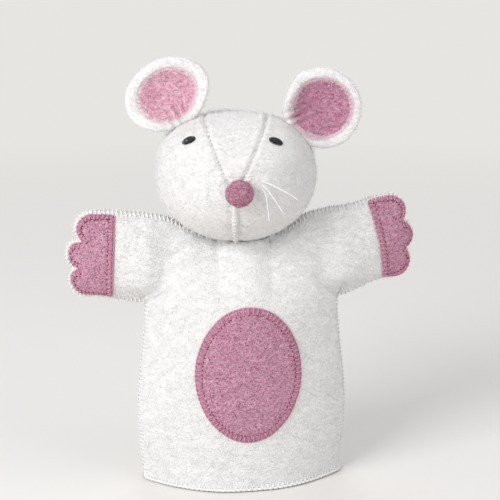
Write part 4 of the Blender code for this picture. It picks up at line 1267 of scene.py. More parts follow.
@dataclass
class PinkFelt:
    """A pink felt front laid on the glove, with its blanket stitch."""

    glove: Glove
    wardrobe: Wardrobe
    name: str
    node: str
    thread_node: str
    outline: list[Flat]
    zone: str = "body"
    side: Side | None = None
    stitch_length: float = 0.0029
    stitch_spacing: float = 0.0030
    thread_radius: float = 0.00052

    def base_rim(self, points: np.ndarray) -> np.ndarray:
        """How far flat places are from the white felt's sewn edge."""
        return self.glove.cut.seam_distance(points)

    def lifted(self, x: float, z: float, rim: float, lift: float) -> tuple[Vector, Vector]:
        """A place this far above the white felt's inner face."""
        return self.glove.cut.surface(x, z, rim, Face.FRONT, lift)

    def lay(self, piece: Piece, finish: FeltFinish | ThreadFinish, slot: str) -> Piece:
        """Dresses a piece; on the body it is tied to the glove, elsewhere it rides on nothing."""
        self.wardrobe.dress(piece, finish, slot)
        return self.glove.follow(piece, self.zone, self.side)

    def build(self) -> None:
        """Makes the pink felt, its threads, and dark discs of painted shade in the holes that the threads
        pull.
        """
        spread = resample(self.outline, 0.0010)
        edge = soften(spread, 2)
        heading = inward(edge)
        total = sum(math.dist(a, b) for a, b in zip(edge, edge[1:] + edge[:1]))
        stitches = round(total / self.stitch_spacing)
        turns = np.arange(len(edge)) / len(edge) * stitches
        scallop = 0.00028 * (0.5 + 0.5 * np.cos(2 * np.pi * turns))
        cut = [tuple(point + way * deep) for point, way, deep in zip(np.array(edge), heading, scallop)]
        plan = FeltPlan(cut, 0.0013)
        white = self.base_rim(plan.points)
        inner, outer = [], []
        for (x, z), rim, base in zip(plan.points, plan.rim, white):
            place, out = self.lifted(x, z, base, FELT + 0.0001)
            thick = rounded(PATCH_FELT, rim, 0.0010, 0.35)
            pulled = 0.00045 * bell(rim - 0.0022, 0.0013)
            puff = lumps(Vector((x, 0.3, z)), (0.014, 0.0003), (0.005, 0.0002), (0.0026, 0.0001))
            inner.append(place)
            outer.append(place + out * (thick - pulled + puff * min(rim / 0.002, 1.0)))
        piece = plan.sheet(self.name, np.array(inner), np.array(outer), Face.FRONT)
        self.lay(piece, ROSE_FELT, "pink_felt")
        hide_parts(self.node)
        loose = fuzz(f"{self.name}_fuzz", piece, PINK_FIBRES[self.zone], 0.0017, -1.0, 0.00007)
        self.lay(loose, ROSE_FUZZ, "pink_felt")
        log.info("pink felt %s: %d faces", self.name, len(piece.data.polygons))
        self.sew(cut, stitches)

    def sew(self, edge: list[Flat], stitches: int) -> None:
        """Lays the blanket stitch over the felt's edge."""
        line = resample(edge, THREAD_STEP)
        heading = inward(line)
        count = len(line)
        top = FELT + PATCH_FELT
        paths, holes, feet = [], [], []
        for index in range(stitches):
            jitter = 0.0002 * ripple(index * 1.7, 3.1, 0.5)
            at = round(index * count / stitches + jitter / THREAD_STEP) % count
            x, z = line[at]
            way = heading[at]
            long = self.stitch_length * (1 + 0.10 * ripple(index * 2.3, 0.4, 9.1))
            lean = 0.0003 * ripple(index * 3.1, 5.5, 2.2)
            across = np.array((-way[1], way[0])) * lean
            steps = (
                (long + 0.0003, top - 0.0005),
                (long, top + 0.00005),
                (long * 0.72, top + 0.0003),
                (long * 0.30, top + 0.0003),
                (0.0003, FELT + PATCH_FELT * 0.9),
                (-0.0004, FELT + 0.0006),
                (-0.0006, FELT - 0.0002),
            )
            flat = np.array([(x, z) + way * deep + across * (deep / long) for deep, _ in steps])
            rims = self.base_rim(flat)
            rims = np.where(inside(flat, self.glove.edge), rims, 0.0)
            lifts = [lift for _, lift in steps]
            paths.append([self.lifted(*spot, rim, lift)[0] for spot, rim, lift in zip(flat, rims, lifts)])
            feet.append(at)
            hole = np.array((x, z)) + way * (long + 0.0005) + across
            rim = float(self.base_rim(hole[None])[0])
            holes.append(self.lifted(*hole, rim, top - 0.0001))
        for first, second in zip(feet, feet[1:] + feet[:1]):
            span = (second - first) % count
            flat = []
            for step in range(5):
                at = (first + round(span * step / 4)) % count
                past = 0.00045 + 0.00012 * math.sin(math.pi * step / 4)
                flat.append(np.array(line[at]) - heading[at] * past)
            flat = np.array(flat)
            rims = np.where(inside(flat, self.glove.edge), self.base_rim(flat), 0.0)
            paths.append([self.lifted(*spot, rim, FELT + 0.00055)[0] for spot, rim in zip(flat, rims)])
        piece = threads(f"{self.name}_blanket_stitch", paths, self.thread_radius, sides=1)
        self.lay(piece, ROSE_THREAD, "pink_thread")
        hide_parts(self.thread_node)
        # Painted shade: a small dark disc sunk at each stitch hole, standing for the shade inside it.
        dots = []
        for place, out in holes:
            dots.append([place - out * 0.0003, place + out * 0.00030, place + out * 0.00036])
        piece = threads(f"{self.name}_stitch_holes", dots, 0.00068, taper=0.8, sides=1)
        self.lay(piece, HOLE_SHADE, "pink_thread")
        log.info("blanket stitch of %s: %d stitches", self.name, stitches)


@dataclass
class WhiteSeams:
    """White whip stitches over the glove's sewn edges and round its hem."""

    glove: Glove
    wardrobe: Wardrobe
    spacing: float = 0.0027
    bite: float = 0.0025
    radius: float = 0.00055

    def build(self) -> None:
        """Sews the edges zone by zone and then the hem."""
        groups: dict[tuple[str, Side | None], list[list[Vector]]] = {}
        for side in Side:
            line = resample(self.glove.cut.half_outline(side), THREAD_STEP, closed=False)
            every = round(self.spacing / THREAD_STEP)
            for index in range(14, len(line) - 70, every):
                x, z = line[index]
                groups.setdefault(self.glove.zone_of(x, z), []).append(self.over_edge(line, index, side))
        names = {"body": "side_seam_stitches", "fold": "shoulder_stitches", "arm": "sleeve_stitches"}
        for (zone, side), paths in groups.items():
            name = names[zone] if side is None else f"{side.word}_{names[zone]}"
            piece = threads(name, paths, self.radius, sides=1)
            self.wardrobe.dress(piece, WHITE_THREAD, "white_thread")
            self.glove.follow(piece, zone, side)
            if zone == "body":
                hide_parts("left_side_stitching", "right_side_stitching")
            log.info("white stitches %s: %d", name, len(paths))
        self.hem()

    def over_edge(self, line: list[Flat], index: int, side: Side) -> list[Vector]:
        """One whip stitch from the front felt over the edge to the back felt."""
        cut = self.glove.cut
        x, z = line[index]
        fingers = abs(x) > cut.fold_far + 0.014
        bite, overhang = (self.bite * 0.5, 0.0001) if fingers else (self.bite, 0.0007)
        ahead = np.array(line[index + 3]) - np.array(line[index - 3])
        ahead /= np.linalg.norm(ahead)
        way = np.array((-ahead[1], ahead[0])) * side.value
        slant = ahead * 0.0007
        wobble = 1 + 0.15 * ripple(index * 0.37, side.value * 3.0, 0.7)
        path = []
        stops = ((1.15, -0.0007), (1.0, 0.0001), (0.55, 0.00035), (0.12, 0.0003))
        for face, order in ((Face.FRONT, stops), (Face.BACK, stops[::-1])):
            for share, lift in order:
                deep = bite * share * wobble
                lean = slant * (share if face is Face.FRONT else -share)
                fx, fz = np.array((x, z)) + way * deep + lean
                rim = float(cut.seam_distance(np.array([(fx, fz)]))[0])
                thick = rounded(FELT, rim, EDGE_ROUND, EDGE_THIN)
                path.append(cut.surface(fx, fz, rim, face, thick + lift)[0])
            if face is Face.FRONT:
                fx, fz = np.array((x, z)) - way * overhang
                path.append(Vector((fx, SEAM_PLANE, fz)))
        return path

    def hem(self) -> None:
        """Blanket stitches round the open hem."""
        cut = self.glove.cut
        knots = (
            (0.0, 0.0009, -0.0002), (0.25, 0.0010, 0.0005), (0.5, 0.0010, 0.0008),
            (0.75, 0.0010, 0.0005), (1.0, 0.0009, -0.0002),
        )
        paths, edge_paths = [], []
        for face in Face:
            count = round(2 * cut.hem_half_width * 1.22 / self.spacing)
            feet = []
            for step in range(count + 1):
                turn = lerp(math.pi * 0.985, math.pi * 0.015, step / count)
                x = cut.hem_half_width * math.cos(turn)
                feet.append(x)
                heights = ((0.0036, -0.0007), (0.0033, 0.0001), (0.0020, 0.00035), (0.0009, 0.0003))
                wobble = 1 + 0.12 * ripple(step * 1.9, face.value, 0.3)
                path = [self.hem_point(x, z * wobble, lift, face) for z, lift in heights]
                paths.append(path)
            for pair in zip(feet, feet[1:]):
                stops = [(lerp(*pair, share), z, lift) for share, z, lift in knots]
                edge_paths.append([self.hem_point(*stop, face) for stop in stops])
        legs = threads("hem_stitch_legs", paths, self.radius, sides=1)
        edge = threads("hem_stitch_edge", edge_paths, 0.00085, sides=1)
        piece = join("hem_blanket_stitch", [edge, legs])
        self.wardrobe.dress(piece, WHITE_THREAD, "white_thread")
        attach(piece, "glove")
        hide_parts("hem_stitching")
        log.info("hem stitches: %d threads", len(paths))

    def hem_point(self, x: float, z: float, lift: float, face: Face) -> Vector:
        """A place on the outside of the hem."""
        cut = self.glove.cut
        limit = cut.side_line(z) - 0.0004
        x = min(max(x, -limit), limit)
        rim = min(cut.side_line(z) - abs(x), 0.006)
        return cut.surface(x, z, rim, face, FELT + lift)[0]


# ---------------------------------------------------------------- head


def cloth_puff(piece: Piece, pressure: float, cap: float, frames: int = 20) -> None:
    """Blows a closed skin up as sewn cloth and keeps the result in its mesh.

    Args:
        piece: the closed, evenly meshed skin.
        pressure: push of the filling from within.
        cap: the most that a point may move, in metres.
        frames: how long the cloth settles.
    """
    before = points_of(piece)
    cloth = piece.modifiers.new("filled_skin", "CLOTH")
    cloth.settings.use_pressure = True
    cloth.settings.uniform_pressure_force = pressure
    cloth.settings.effector_weights.gravity = 0.0
    cloth.settings.quality = 6
    cloth.settings.mass = 0.25
    cloth.settings.tension_stiffness = 22.0
    cloth.settings.compression_stiffness = 22.0
    cloth.settings.bending_stiffness = 3.0
    cloth.point_cache.frame_start, cloth.point_cache.frame_end = 1, frames
    scene = bpy.context.scene
    for step in range(1, frames + 1):
        scene.frame_set(step)
    graph = bpy.context.evaluated_depsgraph_get()
    settled = piece.evaluated_get(graph)
    after = np.empty(len(settled.data.vertices) * 3)
    settled.data.vertices.foreach_get("co", after)
    after = after.reshape(-1, 3)
    piece.modifiers.remove(cloth)
    scene.frame_set(1)
    moved = after - before
    length = np.linalg.norm(moved, axis=1, keepdims=True)
    put_points(piece, before + moved * np.minimum(1.0, cap / np.maximum(length, 1e-9)))


@dataclass
class Head:
    """The stuffed head: its felt skin, seams, nose, eyes, whiskers and inner pieces."""

    wardrobe: Wardrobe
    centre: Vector = field(default_factory=lambda: Vector((-0.0036, -0.0050, 0.0225)))
    half_width: float = 0.0515
    half_height: float = 0.0415
    back: float = 0.0470
    front: float = 0.0480
    snout: float = 0.0075
    crown_fullness: float = 2.5
    chin_fullness: float = 2.0
    gusset_foot: float = 0.0048
    gusset_foot_half: float = 0.0033
    gusset_top_half: float = 0.0205
    chin_top: float = -0.0104
    chin_bottom: float = -0.0365
    nose_radius: float = 0.0081
    nose_sink: float = 0.0030
    eye_spreads: dict[Side, float] = field(default_factory=lambda: {Side.LEFT: 0.0280, Side.RIGHT: 0.0245})
    eye_height: float = 0.0284
    eye_slant: float = math.radians(32.0)
    neck_round: float = 0.0215
    neck_felt: float = 0.0012
    pucker_pitch: float = 0.0034
    mouth_radius: float = 0.0187

    def __post_init__(self) -> None:
        """Sets the head's own axes."""
        self.axes = Matrix.Translation(HEAD_PIVOT) @ Matrix.Rotation(HEAD_FACING, 4, "Z")

    def form(self, heading: Vector) -> Vector:
        """The skin's place in a direction from the head's centre, on the head's own axes."""
        depth = self.front if heading.y < 0 else self.back
        power = lerp(self.chin_fullness, self.crown_fullness, smoothstep(2 * heading.z))
        reach = sum(abs(share) ** power for share in heading) ** (-1 / power)
        sizes = (self.half_width, depth, self.half_height)
        place = Vector([share * size * reach for share, size in zip(heading, sizes)])
        place.y -= self.snout * max(-heading.y, 0.0) ** 4
        return place

    def gusset_edge(self, height: float) -> float:
        """Half width of the forehead gusset at a height above the centre."""
        slope = (self.gusset_top_half - self.gusset_foot_half) / (self.half_height - self.gusset_foot)
        return self.gusset_foot_half + slope * (height - self.gusset_foot)

    def seam_relief(self, x: float, z: float) -> float:
        """Grooves and puckers of the head's seams at a place on its own axes, seen from the front."""
        found = 0.0
        if z > self.gusset_foot - 0.002:
            off = abs(abs(x) - self.gusset_edge(z)) * 0.90
            start = smoothstep((z - self.gusset_foot + 0.002) / 0.004)
            shift = 2.0 if x > 0 else 0.0
            wave = math.sin(2 * math.pi * z / self.pucker_pitch + shift + 6 * ripple(z * 90, x * 60, 1.0))
            found -= start * 0.0014 * bell(off, 0.0010)
            found += start * 0.00050 * bell(off - 0.0026, 0.0020) * (1 + 0.8 * wave)
        if z < self.gusset_foot and abs(x) < 0.012:
            wave = math.sin(2 * math.pi * z / 0.0032 + 4 * ripple(z * 80, 5.0, x * 40))
            start = smoothstep((self.gusset_foot - z) / 0.006)
            found += start * 0.0012 * bell(abs(x), 0.0012)
            found -= start * 0.0007 * bell(abs(x) - 0.0026, 0.0016) * (1 + 0.5 * wave)
        return found

    def build_skin(self) -> None:
        """Makes the stuffed felt skin with its seams and the mouth that the neck goes into."""
        skin = ball("head_skin", 1.0)
        start = [self.form(Vector(point).normalized()) for point in points_of(skin)]
        put_points(skin, np.array([place * (1 - 0.0011 / place.length) for place in start]))
        remesh(skin, 0.004)
        cloth_puff(skin, 4.0, 0.0016)
        subdivide(skin, 2)
        points, outs = points_of(skin), normals_of(skin)
        moved = []
        for point, out in zip(points, outs):
            place = Vector(point)
            lump = lumps(place + Vector((0.4, 0.1, 0.2)), (0.030, 0.0007), (0.010, 0.0003), (0.004, 0.00014))
            place += Vector(out) * (lump + self.seam_relief(point[0], point[2]))
            moved.append(place)
        skin_points = np.array([self.axes @ (place + self.centre) for place in moved])
        radial = np.hypot(skin_points[:, 0] - HEAD_PIVOT.x, skin_points[:, 1] - HEAD_PIVOT.y)
        low = skin_points[:, 2] < 0.185
        put_points(skin, skin_points)
        drop_points(skin, (radial < self.mouth_radius) & low)
        self.surface = surface_of(skin)
        loose = fuzz("head_fuzz", skin, 9000, 0.0024)
        self.wardrobe.dress(loose, WOOL_FUZZ, "white_felt")
        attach(loose, "head")
        wall_inside(skin, FELT)
        skin.data.shade_smooth()
        self.wardrobe.dress(skin, HEAD_FELT, "white_felt")
        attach(skin, "head")
        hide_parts("forehead_gusset", "head_left_panel", "head_right_panel")
        log.info("head skin: %d faces", len(skin.data.polygons))

    def on_skin(self, x: float, z: float) -> tuple[Vector, Matrix]:
        """A place on the head's front, and axes there: across, up and out."""
        start = self.axes @ Vector((x, -FAR, z))
        ahead = self.axes.to_3x3() @ Vector((0.0, 1.0, 0.0))
        place, normal, _, _ = self.surface.ray_cast(start, ahead)
        if normal.dot(ahead) > 0:
            normal = -normal
        across = Vector((0, 0, 1)).cross(normal).normalized()
        return place, Matrix((across, normal.cross(across), normal)).transposed()

    def build_seam_stitches(self) -> None:
        """Small whip stitches over the gusset's seams and the chin's ridge."""
        stops = ((-1.15, -0.0005), (-0.9, 0.0001), (0.0, 0.0005), (0.9, 0.0001), (1.15, -0.0005))
        for name, lines in (
            ("left_gusset_stitches", ((-1.0, 0.0125, 0.0392, 0.0021),)),
            ("right_gusset_stitches", ((1.0, 0.0125, 0.0392, 0.0021),)),
            ("chin_stitches", ((0.0, self.chin_bottom, self.chin_top, 0.0027),)),
        ):
            paths = []
            for sign, low, high, pitch in lines:
                for index in range(int((high - low) / pitch)):
                    height = low + index * pitch
                    middle = sign * self.gusset_edge(height) if sign else 0.0
                    half = (0.0010 if sign else 0.0014) * (1 + 0.2 * ripple(index * 1.3, sign, 2.0))
                    path = []
                    for share, lift in stops:
                        up = self.centre.z + height + 0.0005 * share
                        place, axes = self.on_skin(self.centre.x + middle + half * share, up)
                        path.append(place + axes.col[2] * lift)
                    paths.append(path)
            piece = threads(name, paths, 0.00042, sides=1)
            self.wardrobe.dress(piece, WHITE_THREAD, "white_thread")
            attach(piece, "head")
            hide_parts(name.replace("stitches", "stitching"))
            log.info("%s: %d", name, len(paths))

    def build_nose(self) -> None:
        """A needle-felted ball, a little flat where it lies on the snout."""
        place, axes = self.on_skin(self.centre.x, self.centre.z + 0.0005)
        out = axes.col[2]
        nose = ball("felted_nose", self.nose_radius)
        points = []
        middle = place + out * (self.nose_radius - self.nose_sink)
        for point in points_of(nose):
            spot = Vector(point)
            spot *= 1 + lumps(spot, (0.007, 0.0006), (0.0030, 0.0005), (0.0015, 0.0003)) / self.nose_radius
            spot.x *= 1.02
            ahead = spot.dot(out)
            deep = -(self.nose_radius - self.nose_sink) + 0.0003
            if ahead < deep:
                spot += out * (deep - ahead) * 0.9
            points.append(middle + spot)
        put_points(nose, np.array(points))
        nose.data.shade_smooth()
        self.wardrobe.dress(nose, NOSE_FELT, "pink_felt")
        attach(nose, "head")
        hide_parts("nose")
        loose = fuzz("nose_fuzz", nose, 700, 0.0014, 0.0, 0.00007)
        self.wardrobe.dress(loose, ROSE_FUZZ, "pink_felt")
        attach(loose, "head")
        log.info("nose: %d faces", len(nose.data.polygons))

    def build_eyes(self) -> None:
        """Each eye: satin stitches of black thread over a low dome of them."""
        for side in Side:
            across = self.centre.x + side.value * self.eye_spreads[side]
            place, axes = self.on_skin(across, self.centre.z + self.eye_height)
            turn = axes @ Matrix.Rotation(-side.value * self.eye_slant, 3, "Z")
            long, wide, dome = 0.0043, 0.0029, 0.0011
            paths = []
            rows = 9
            for row in range(rows):
                v = lerp(-1.0, 1.0, (row + 0.5) / rows)
                half = long * math.sqrt(1 - v * v) * (1 + 0.04 * ripple(row * 2.1, side.value, 0.0))
                path = []
                for step in range(9):
                    u = lerp(-1.0, 1.0, step / 8)
                    height = dome * math.sqrt(max(1 - v * v, 0.0)) * math.sqrt(max(1 - u * u, 0.0))
                    path.append(place + turn @ Vector((half * u, wide * v, height - 0.0002)))
                paths.append(path)
            stitched = threads(f"{side.word}_eye_satin", paths, 0.00040, sides=1)
            bed = globe(f"{side.word}_eye_bed", 24, 12)
            edit(bed)
            bpy.ops.transform.resize(value=(long * 0.97, wide * 0.97, dome * 0.92))
            close_edit()
            put_points(bed, np.array([place + turn @ Vector(point) for point in points_of(bed)]))
            bed.data.shade_smooth()
            eye = join(f"{side.word}_stitched_eye", [stitched, bed])
            self.wardrobe.dress(eye, BLACK_THREAD, "black_thread")
            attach(eye, "head")
            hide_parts(f"{side.word}_eye")
            log.info("eye %s", eye.name)

    def build_whiskers(self) -> None:
        """Three fine threads on each cheek, thinner towards their ends."""
        falls = ((math.radians(-20.0), 0.0280), (math.radians(-50.0), 0.0240), (math.radians(-82.0), 0.0230))
        for side in Side:
            for index, (fall, length) in enumerate(falls):
                place, axes = self.on_skin(
                    self.centre.x + side.value * 0.0160, self.centre.z + 0.0070 - index * 0.0024
                )
                out = axes.col[2]
                sweep = Vector((side.value * math.cos(fall), -0.35, math.sin(fall))).normalized()
                sweep = self.axes.to_3x3() @ sweep
                path = [place - out * 0.0006]
                for step in range(1, 19):
                    share = smoothstep(2.2 * step / 18)
                    ahead = out.lerp(sweep, share)
                    ahead += Vector((0.0, 0.0, -0.25 * (step / 18) ** 2))
                    path.append(path[-1] + ahead.normalized() * length / 18)
                name = f"{side.word}_whisker_hair_{index + 1}"
                whisker = threads(name, [path], WHISKER_RADII[side], taper=0.45, sides=1)
                self.wardrobe.dress(whisker, WHISKER_THREAD, "whisker_thread")
                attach(whisker, "head")
                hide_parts(f"{side.word}_whisker_{index + 1}")
        log.info("whiskers: 6")

    def build_neck(self) -> None:
        """The neck's gathered felt: round its pivot, so that the head slides over it without a gap."""
        neck = globe("neck_felt_tube", 120, 60)
        unit = points_of(neck)
        low_level, open_top, open_foot = 0.60, 0.72, -0.985
        pleat, pleats, straight = 0.0003, 17, 0.012
        points = []
        for x, y, z in unit:
            turn = math.atan2(y, x)
            below = max(-low_level - z, 0.0) / (1 - low_level)
            radial = math.sqrt(1 - min(max(z, -low_level), 1.0) ** 2) * self.neck_round
            radial += pleat * math.sin(pleats * turn + 2.0 * math.cos(turn))
            height = max(z, -low_level) * self.neck_round - straight * below
            points.append(HEAD_PIVOT + Vector((radial * math.cos(turn), radial * math.sin(turn), height)))
        put_points(neck, np.array(points))
        drop_points(neck, (unit[:, 2] > open_top) | (unit[:, 2] < open_foot))
        wall_inside(neck, self.neck_felt)
        neck.data.shade_smooth()
        self.wardrobe.dress(neck, WHITE_FELT, "white_felt")
        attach(neck, "glove")
        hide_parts("neck_tube")
        log.info("neck felt: %d faces", len(neck.data.polygons))

    def build_inside(self) -> None:
        """The neck's band, the finger pocket and the filling."""
        for node, name, body, voxel, size, finish, slot in (
            ("neck_band", "neck_felt_band", "neck", 0.0007, 0.00012, WHITE_FELT, "white_felt"),
            ("finger_pocket", "felt_finger_pocket", "pocket", 0.0007, 0.00012, WHITE_FELT, "white_felt"),
            ("head_stuffing", "head_wool_filling", "head", 0.0016, 0.0006, WOOL_FILLING, "wool_stuffing"),
        ):
            piece = copy_of(name, node)
            remesh(piece, voxel, smooth=3)
            moved = []
            for point, out in zip(points_of(piece), normals_of(piece)):
                moved.append(Vector(point) + Vector(out) * (lumps(Vector(point), (0.009, size)) - size * 0.6))
            put_points(piece, np.array(moved))
            self.wardrobe.dress(piece, finish, slot)
            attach(piece, body)
            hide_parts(node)
            log.info("inner piece %s: %d faces", name, len(piece.data.polygons))

    def build(self) -> None:
        """Makes the whole head but its ears."""
        self.build_skin()
        self.build_seam_stitches()
        self.build_nose()
        self.build_eyes()
        self.build_whiskers()
        self.build_neck()
        self.build_inside()


@dataclass
class Ear:
    """One thick felt ear with its pink lining."""

    side: Side
    head: Head
    wardrobe: Wardrobe
    half_length: float
    lean: float
    finish: FeltFinish
    lining_finish: FeltFinish
    half_width: float = 0.0265
    cup: float = 0.0060
    felt: float = 0.0046
    lining_share: float = 0.74
    pinch: float = 0.30
    fold: float = 0.0050

    def __post_init__(self) -> None:
        """Finds the ear's root from its joint."""
        joint = next(j for j in frame["joints"] if j["name"] == f"{self.side.word}_ear_flick")
        turn = Matrix.Rotation(HEAD_FACING, 4, "Z") @ Matrix.Rotation(self.side.value * self.lean, 4, "Y")
        self.axes = Matrix.Translation(Vector(joint["pos_m"])) @ turn

    def place(self, share: float, turn: float) -> Vector:
        """A place on the ear's middle sheet, on the ear's own axes.

        Args:
            share: distance from the middle, 1 at the rim.
            turn: angle round the ear, 0 to the side and a quarter turn at the tip.
        """
        radius = (self.half_width**2 + self.cup**2) / (2 * self.cup)
        opening = math.asin(self.half_width / radius) * share
        across = math.cos(turn) * radius * math.sin(opening)
        up = math.sin(turn) * radius * math.sin(opening)
        low = smoothstep(-up / self.half_width)
        narrow = 1 - self.pinch * low
        forward = self.fold * low * (across / self.half_width) ** 2 * 2.2
        height = self.half_length * (1 + up / self.half_width)
        return Vector((across * narrow, -radius * (1 - math.cos(opening)) - forward, height))

    def out(self, share: float, turn: float) -> Vector:
        """The direction out of the ear's hollow side."""
        step = 0.02
        ahead = self.place(share + step, turn) - self.place(max(share - step, 0.0), turn)
        around = self.place(share + 0.001, turn + step) - self.place(share + 0.001, turn - step)
        normal = ahead.cross(around).normalized()
        return normal if normal.y < 0 else -normal

    def reach(self, point: Sequence[float], fit: float) -> float:
        """How far out a place lies on the hollow side, 1 at the lining's rim.

        Args:
            point: the place, on the ear's own axes.
            fit: share of the ear's width that counts as its whole width.
        """
        across = point[0] / (self.half_width * fit)
        up = (point[2] - self.half_length) / self.half_length
        return math.hypot(across, up) / self.lining_share

    def dish(
        self,
        name: str,
        rings: int,
        spokes: int,
        reach: float,
        back: float,
        front: float,
        rim_power: float = 7.0,
        rim_swell: float = 0.22,
    ) -> Piece:
        """A closed felt dish of the ear's form.

        Args:
            name: the piece's name.
            rings: rows of points from the middle to the rim.
            spokes: points in each row.
            reach: size of the dish against the ear's.
            back: distance of its back face behind the middle sheet.
            front: distance of its front face before the middle sheet.
            rim_power: how blunt the rim is; a low number feathers it out.
            rim_swell: how much thicker the dish is near its rim.

        Returns:
            The piece, on the ear's own axes.
        """
        piece = globe(name, spokes, rings * 2)
        points = []
        for point in points_of(piece):
            level = min(max(point[2], -1.0), 1.0)
            share = math.sqrt(max(1 - level * level, 0.0))
            share = 1 - (1 - share) ** 0.62 if share < 1 else 1.0
            turn = math.atan2(point[1], point[0])
            round_rim = (1 - share**rim_power) ** 0.5 if share < 1 else 0.0
            swell = 1 + rim_swell * bell(share - 0.86, 0.13)
            wavy = 1 + 0.020 * ripple(math.cos(turn) * 2.1, math.sin(turn) * 2.1, self.side.value * 3.0)
            spot = self.place(share * reach * wavy, turn)
            out = self.out(max(share * reach, 0.02), turn)
            middle = (front - back) / 2
            half = (front + back) / 2 * round_rim * swell
            spot += out * (middle + (half if level > 0 else -half))
            apart = Vector((self.side.value, 0, 0))
            lump = lumps(spot + apart, (0.013, 0.0005), (0.005, 0.00018), (0.0022, 0.00008))
            near_root = bell(turn + math.pi / 2, 0.55) * smoothstep(share * reach / 0.75)
            pleat = 0.0011 * near_root * math.sin(2 * math.pi * spot.x / 0.0052 + self.side.value)
            spot += out * (lump + pleat)
            points.append(spot)
        put_points(piece, np.array(points))
        piece.data.shade_smooth()
        edit(piece)
        bpy.ops.mesh.normals_make_consistent(inside=False)
        close_edit()
        return piece

    def seat(self, piece: Piece, clearance: float) -> None:
        """Puts the piece on the head and keeps it outside the head's skin."""
        moved = []
        middle = self.head.axes @ self.head.centre
        for point in points_of(piece):
            spot = self.axes @ Vector(point)
            near, normal, _, gap = self.head.surface.find_nearest(spot)
            if near is not None and gap < 0.02:
                if normal.dot(near - middle) < 0:
                    normal = -normal
                depth = (spot - near).dot(normal)
                if depth < clearance:
                    spot += normal * (clearance - depth)
            moved.append(spot)
        put_points(piece, np.array(moved))

    def build(self) -> None:
        """Makes the white ear with its pink-stained hollow, and the lining."""
        word = self.side.word
        cup = self.dish(f"{word}_felt_ear", 40, 110, 1.0, self.felt, 0.0004, 9.0, 0.45)
        stain = []
        for point, normal in zip(points_of(cup), normals_of(cup)):
            front = smoothstep((0.1 - normal[1]) / 0.3)
            stain.append(0.55 * smoothstep((1.24 - self.reach(point, 0.92)) / 0.26) * front)
        paint(cup, "pink_wool", stain)
        self.seat(cup, 0.0002)
        self.wardrobe.dress(cup, self.finish, "white_felt")
        loose = fuzz(f"{word}_ear_fuzz", cup, 5500, 0.0020)
        self.wardrobe.dress(loose, WOOL_FUZZ, "white_felt")
        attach(loose, f"{word}_ear")
        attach(cup, f"{word}_ear")
        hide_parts(f"{word}_ear")
        lining = self.dish(f"{word}_felt_ear_lining", 30, 90, self.lining_share, -0.0002, 0.0013, 2.0, 0.0)
        worn = [0.85 * smoothstep((self.reach(point, 0.94) - 0.80) / 0.26) for point in points_of(lining)]
        paint(lining, "worn_edge", worn)
        self.seat(lining, 0.0006)
        self.wardrobe.dress(lining, self.lining_finish, "ear_pink_felt")
        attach(lining, f"{word}_ear")
        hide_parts(f"{word}_ear_lining")
        loose = fuzz(f"{word}_ear_lining_fuzz", lining, 2200, 0.0018, -1.0, 0.00005)
        self.wardrobe.dress(loose, ROSE_FUZZ, "ear_pink_felt")
        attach(loose, f"{word}_ear")
        log.info("%s ear: %d faces", word, len(cup.data.polygons) + len(lining.data.polygons))


# ---------------------------------------------------------------- studio


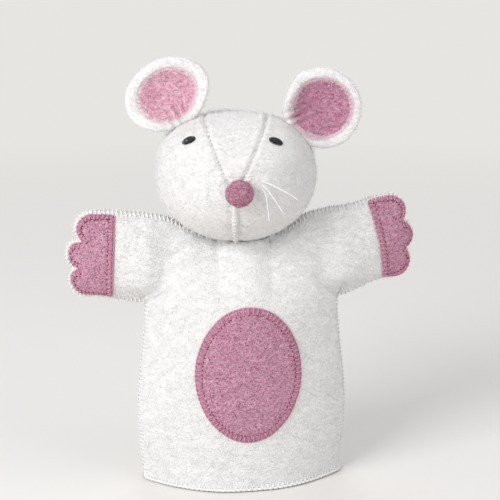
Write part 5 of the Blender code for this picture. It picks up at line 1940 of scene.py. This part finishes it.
@dataclass
class Studio:
    """Plain pale floor, soft light and the camera."""

    floor_size: float = 14.0
    camera_place: tuple[float, float, float] = (-0.12302, -0.89845, 0.38050)
    azimuth: float = math.radians(-8.0)
    elevation: float = math.radians(14.0)
    lens: float = 106.875
    world_strength: float = 0.62

    def build(self) -> None:
        """Makes floor, world, lamps and camera."""
        deselect_all()
        bpy.ops.mesh.primitive_plane_add(size=self.floor_size)
        floor = settle(bpy.context.object, "studio_floor")
        material, pen = blank_material("pale_floor")
        shader = pen.add("ShaderNodeBsdfPrincipled", Roughness=0.9)
        pen.feed(shader, "Base Color", srgb(232, 230, 227))
        pen.feed(shader, "Specular IOR Level", 0.1)
        pale = pen.add("ShaderNodeEmission", Color=srgb(231, 229, 226), Strength=1.0)
        length = pen.add("ShaderNodeVectorMath", operation="LENGTH")
        pen.feed(length, 0, pen.add("ShaderNodeTexCoord").outputs["Object"])
        far = pen.ramp(length.outputs["Value"], 0.35, 1.3)
        seen = pen.add("ShaderNodeLightPath").outputs["Is Camera Ray"]
        blend = pen.add("ShaderNodeMixShader")
        pen.feed(blend, 0, pen.math("MULTIPLY", far, seen))
        pen.feed(blend, 1, shader.outputs["BSDF"])
        pen.feed(blend, 2, pale.outputs[0])
        pen.feed(pen.add("ShaderNodeOutputMaterial"), "Surface", blend.outputs[0])
        floor.data.materials.append(material)
        self.light_world()
        self.lamp("key_lamp", (-1.30, -1.05, 1.05), 1.0, 27.5)
        self.lamp("fill_lamp", (1.25, -0.9, 0.9), 1.3, 6.5)
        self.lamp("rim_lamp", (0.1, 1.0, 1.6), 0.7, 5.0)
        self.place_camera()

    def light_world(self) -> None:
        """An even pale sky; the camera sees it almost white."""
        world = bpy.data.worlds.new("soft_sky")
        bpy.context.scene.world = world
        world.use_nodes = True
        world.node_tree.nodes.clear()
        pen = NodePen(world.node_tree)
        path = pen.add("ShaderNodeLightPath")
        seen = pen.math("MAXIMUM", path.outputs["Is Camera Ray"], path.outputs["Is Glossy Ray"])
        seen = pen.math("MAXIMUM", seen, path.outputs["Is Transmission Ray"])
        sky = pen.add("ShaderNodeBackground", Color=srgb(236, 236, 238))
        extra = pen.math("MULTIPLY", seen, 1 - self.world_strength)
        pen.feed(sky, "Strength", pen.math("ADD", self.world_strength, extra))
        pen.feed(pen.add("ShaderNodeOutputWorld"), "Surface", sky.outputs[0])

    def lamp(self, name: str, place: tuple[float, float, float], size: float, power: float) -> None:
        """A square soft lamp that points at the puppet's chest."""
        light = bpy.data.lights.new(name, "AREA")
        light.size = size
        light.energy = power
        holder = bpy.data.objects.new(name, light)
        holder.location = place
        holder.rotation_euler = (Vector((0, 0, 0.13)) - Vector(place)).to_track_quat("-Z", "Y").to_euler()
        bpy.context.scene.collection.objects.link(holder)

    def place_camera(self) -> None:
        """A camera at the photograph's place and angle."""
        right = Vector((math.cos(self.azimuth), math.sin(self.azimuth), 0.0))
        level = Vector((math.sin(self.azimuth), -math.cos(self.azimuth), 0.0))
        back = level * math.cos(self.elevation) + Vector((0, 0, math.sin(self.elevation)))
        up = -level * math.sin(self.elevation) + Vector((0, 0, math.cos(self.elevation)))
        camera = bpy.data.cameras.new("photo_camera")
        camera.sensor_width = 36.0
        camera.lens = self.lens
        camera.clip_end = 30.0
        holder = bpy.data.objects.new("photo_camera", camera)
        place = Matrix((right, up, back)).transposed().to_4x4()
        place.translation = Vector(self.camera_place)
        holder.matrix_world = place
        bpy.context.scene.collection.objects.link(holder)
        bpy.context.scene.camera = holder


def main() -> None:
    """Builds the studio and every piece of the puppet, in order."""
    logging.basicConfig(level=logging.INFO, format="%(message)s")
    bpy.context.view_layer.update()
    bpy.context.scene.view_settings.view_transform = "Standard"
    Studio().build()
    wardrobe = Wardrobe()
    glove = Glove(wardrobe)
    glove.build()
    turns = np.linspace(0, 2 * math.pi, 181)[:-1]
    oval = [
        (TUMMY_HALF_WIDTH * math.cos(turn), TUMMY_MIDDLE + TUMMY_HALF_HEIGHT * math.sin(turn))
        for turn in turns
    ]
    PinkFelt(glove, wardrobe, "tummy_felt", "tummy_patch", "tummy_patch_stitching", oval).build()
    for side in Side:
        word = side.word
        outline = glove.cut.pad_outline(side, PAW_CUFFS[side], PAW_MARGINS[side])
        PinkFelt(
            glove, wardrobe, f"{word}_paw_felt", f"{word}_paw_pad", f"{word}_paw_stitching", outline,
            zone="arm", side=side, stitch_spacing=0.0029, stitch_length=0.0021,
        ).build()
    WhiteSeams(glove, wardrobe).build()
    head = Head(wardrobe)
    head.build()
    # The left ear wears the paler pink copies, painted light; the right ear wears the darker ones, painted
    # shade.
    Ear(
        Side.LEFT, head, wardrobe, half_length=0.0208, lean=math.radians(30.0),
        finish=EAR_FELT, lining_finish=EAR_ROSE_FELT,
    ).build()
    Ear(
        Side.RIGHT, head, wardrobe, half_length=0.0236, lean=math.radians(66.0),
        finish=SHADED_RIGHT_EAR_FELT, lining_finish=SHADED_RIGHT_EAR_ROSE_FELT, half_width=0.0243, lining_share=0.80,
    ).build()
    deselect_all()


if __name__ == "__main__":
    main()
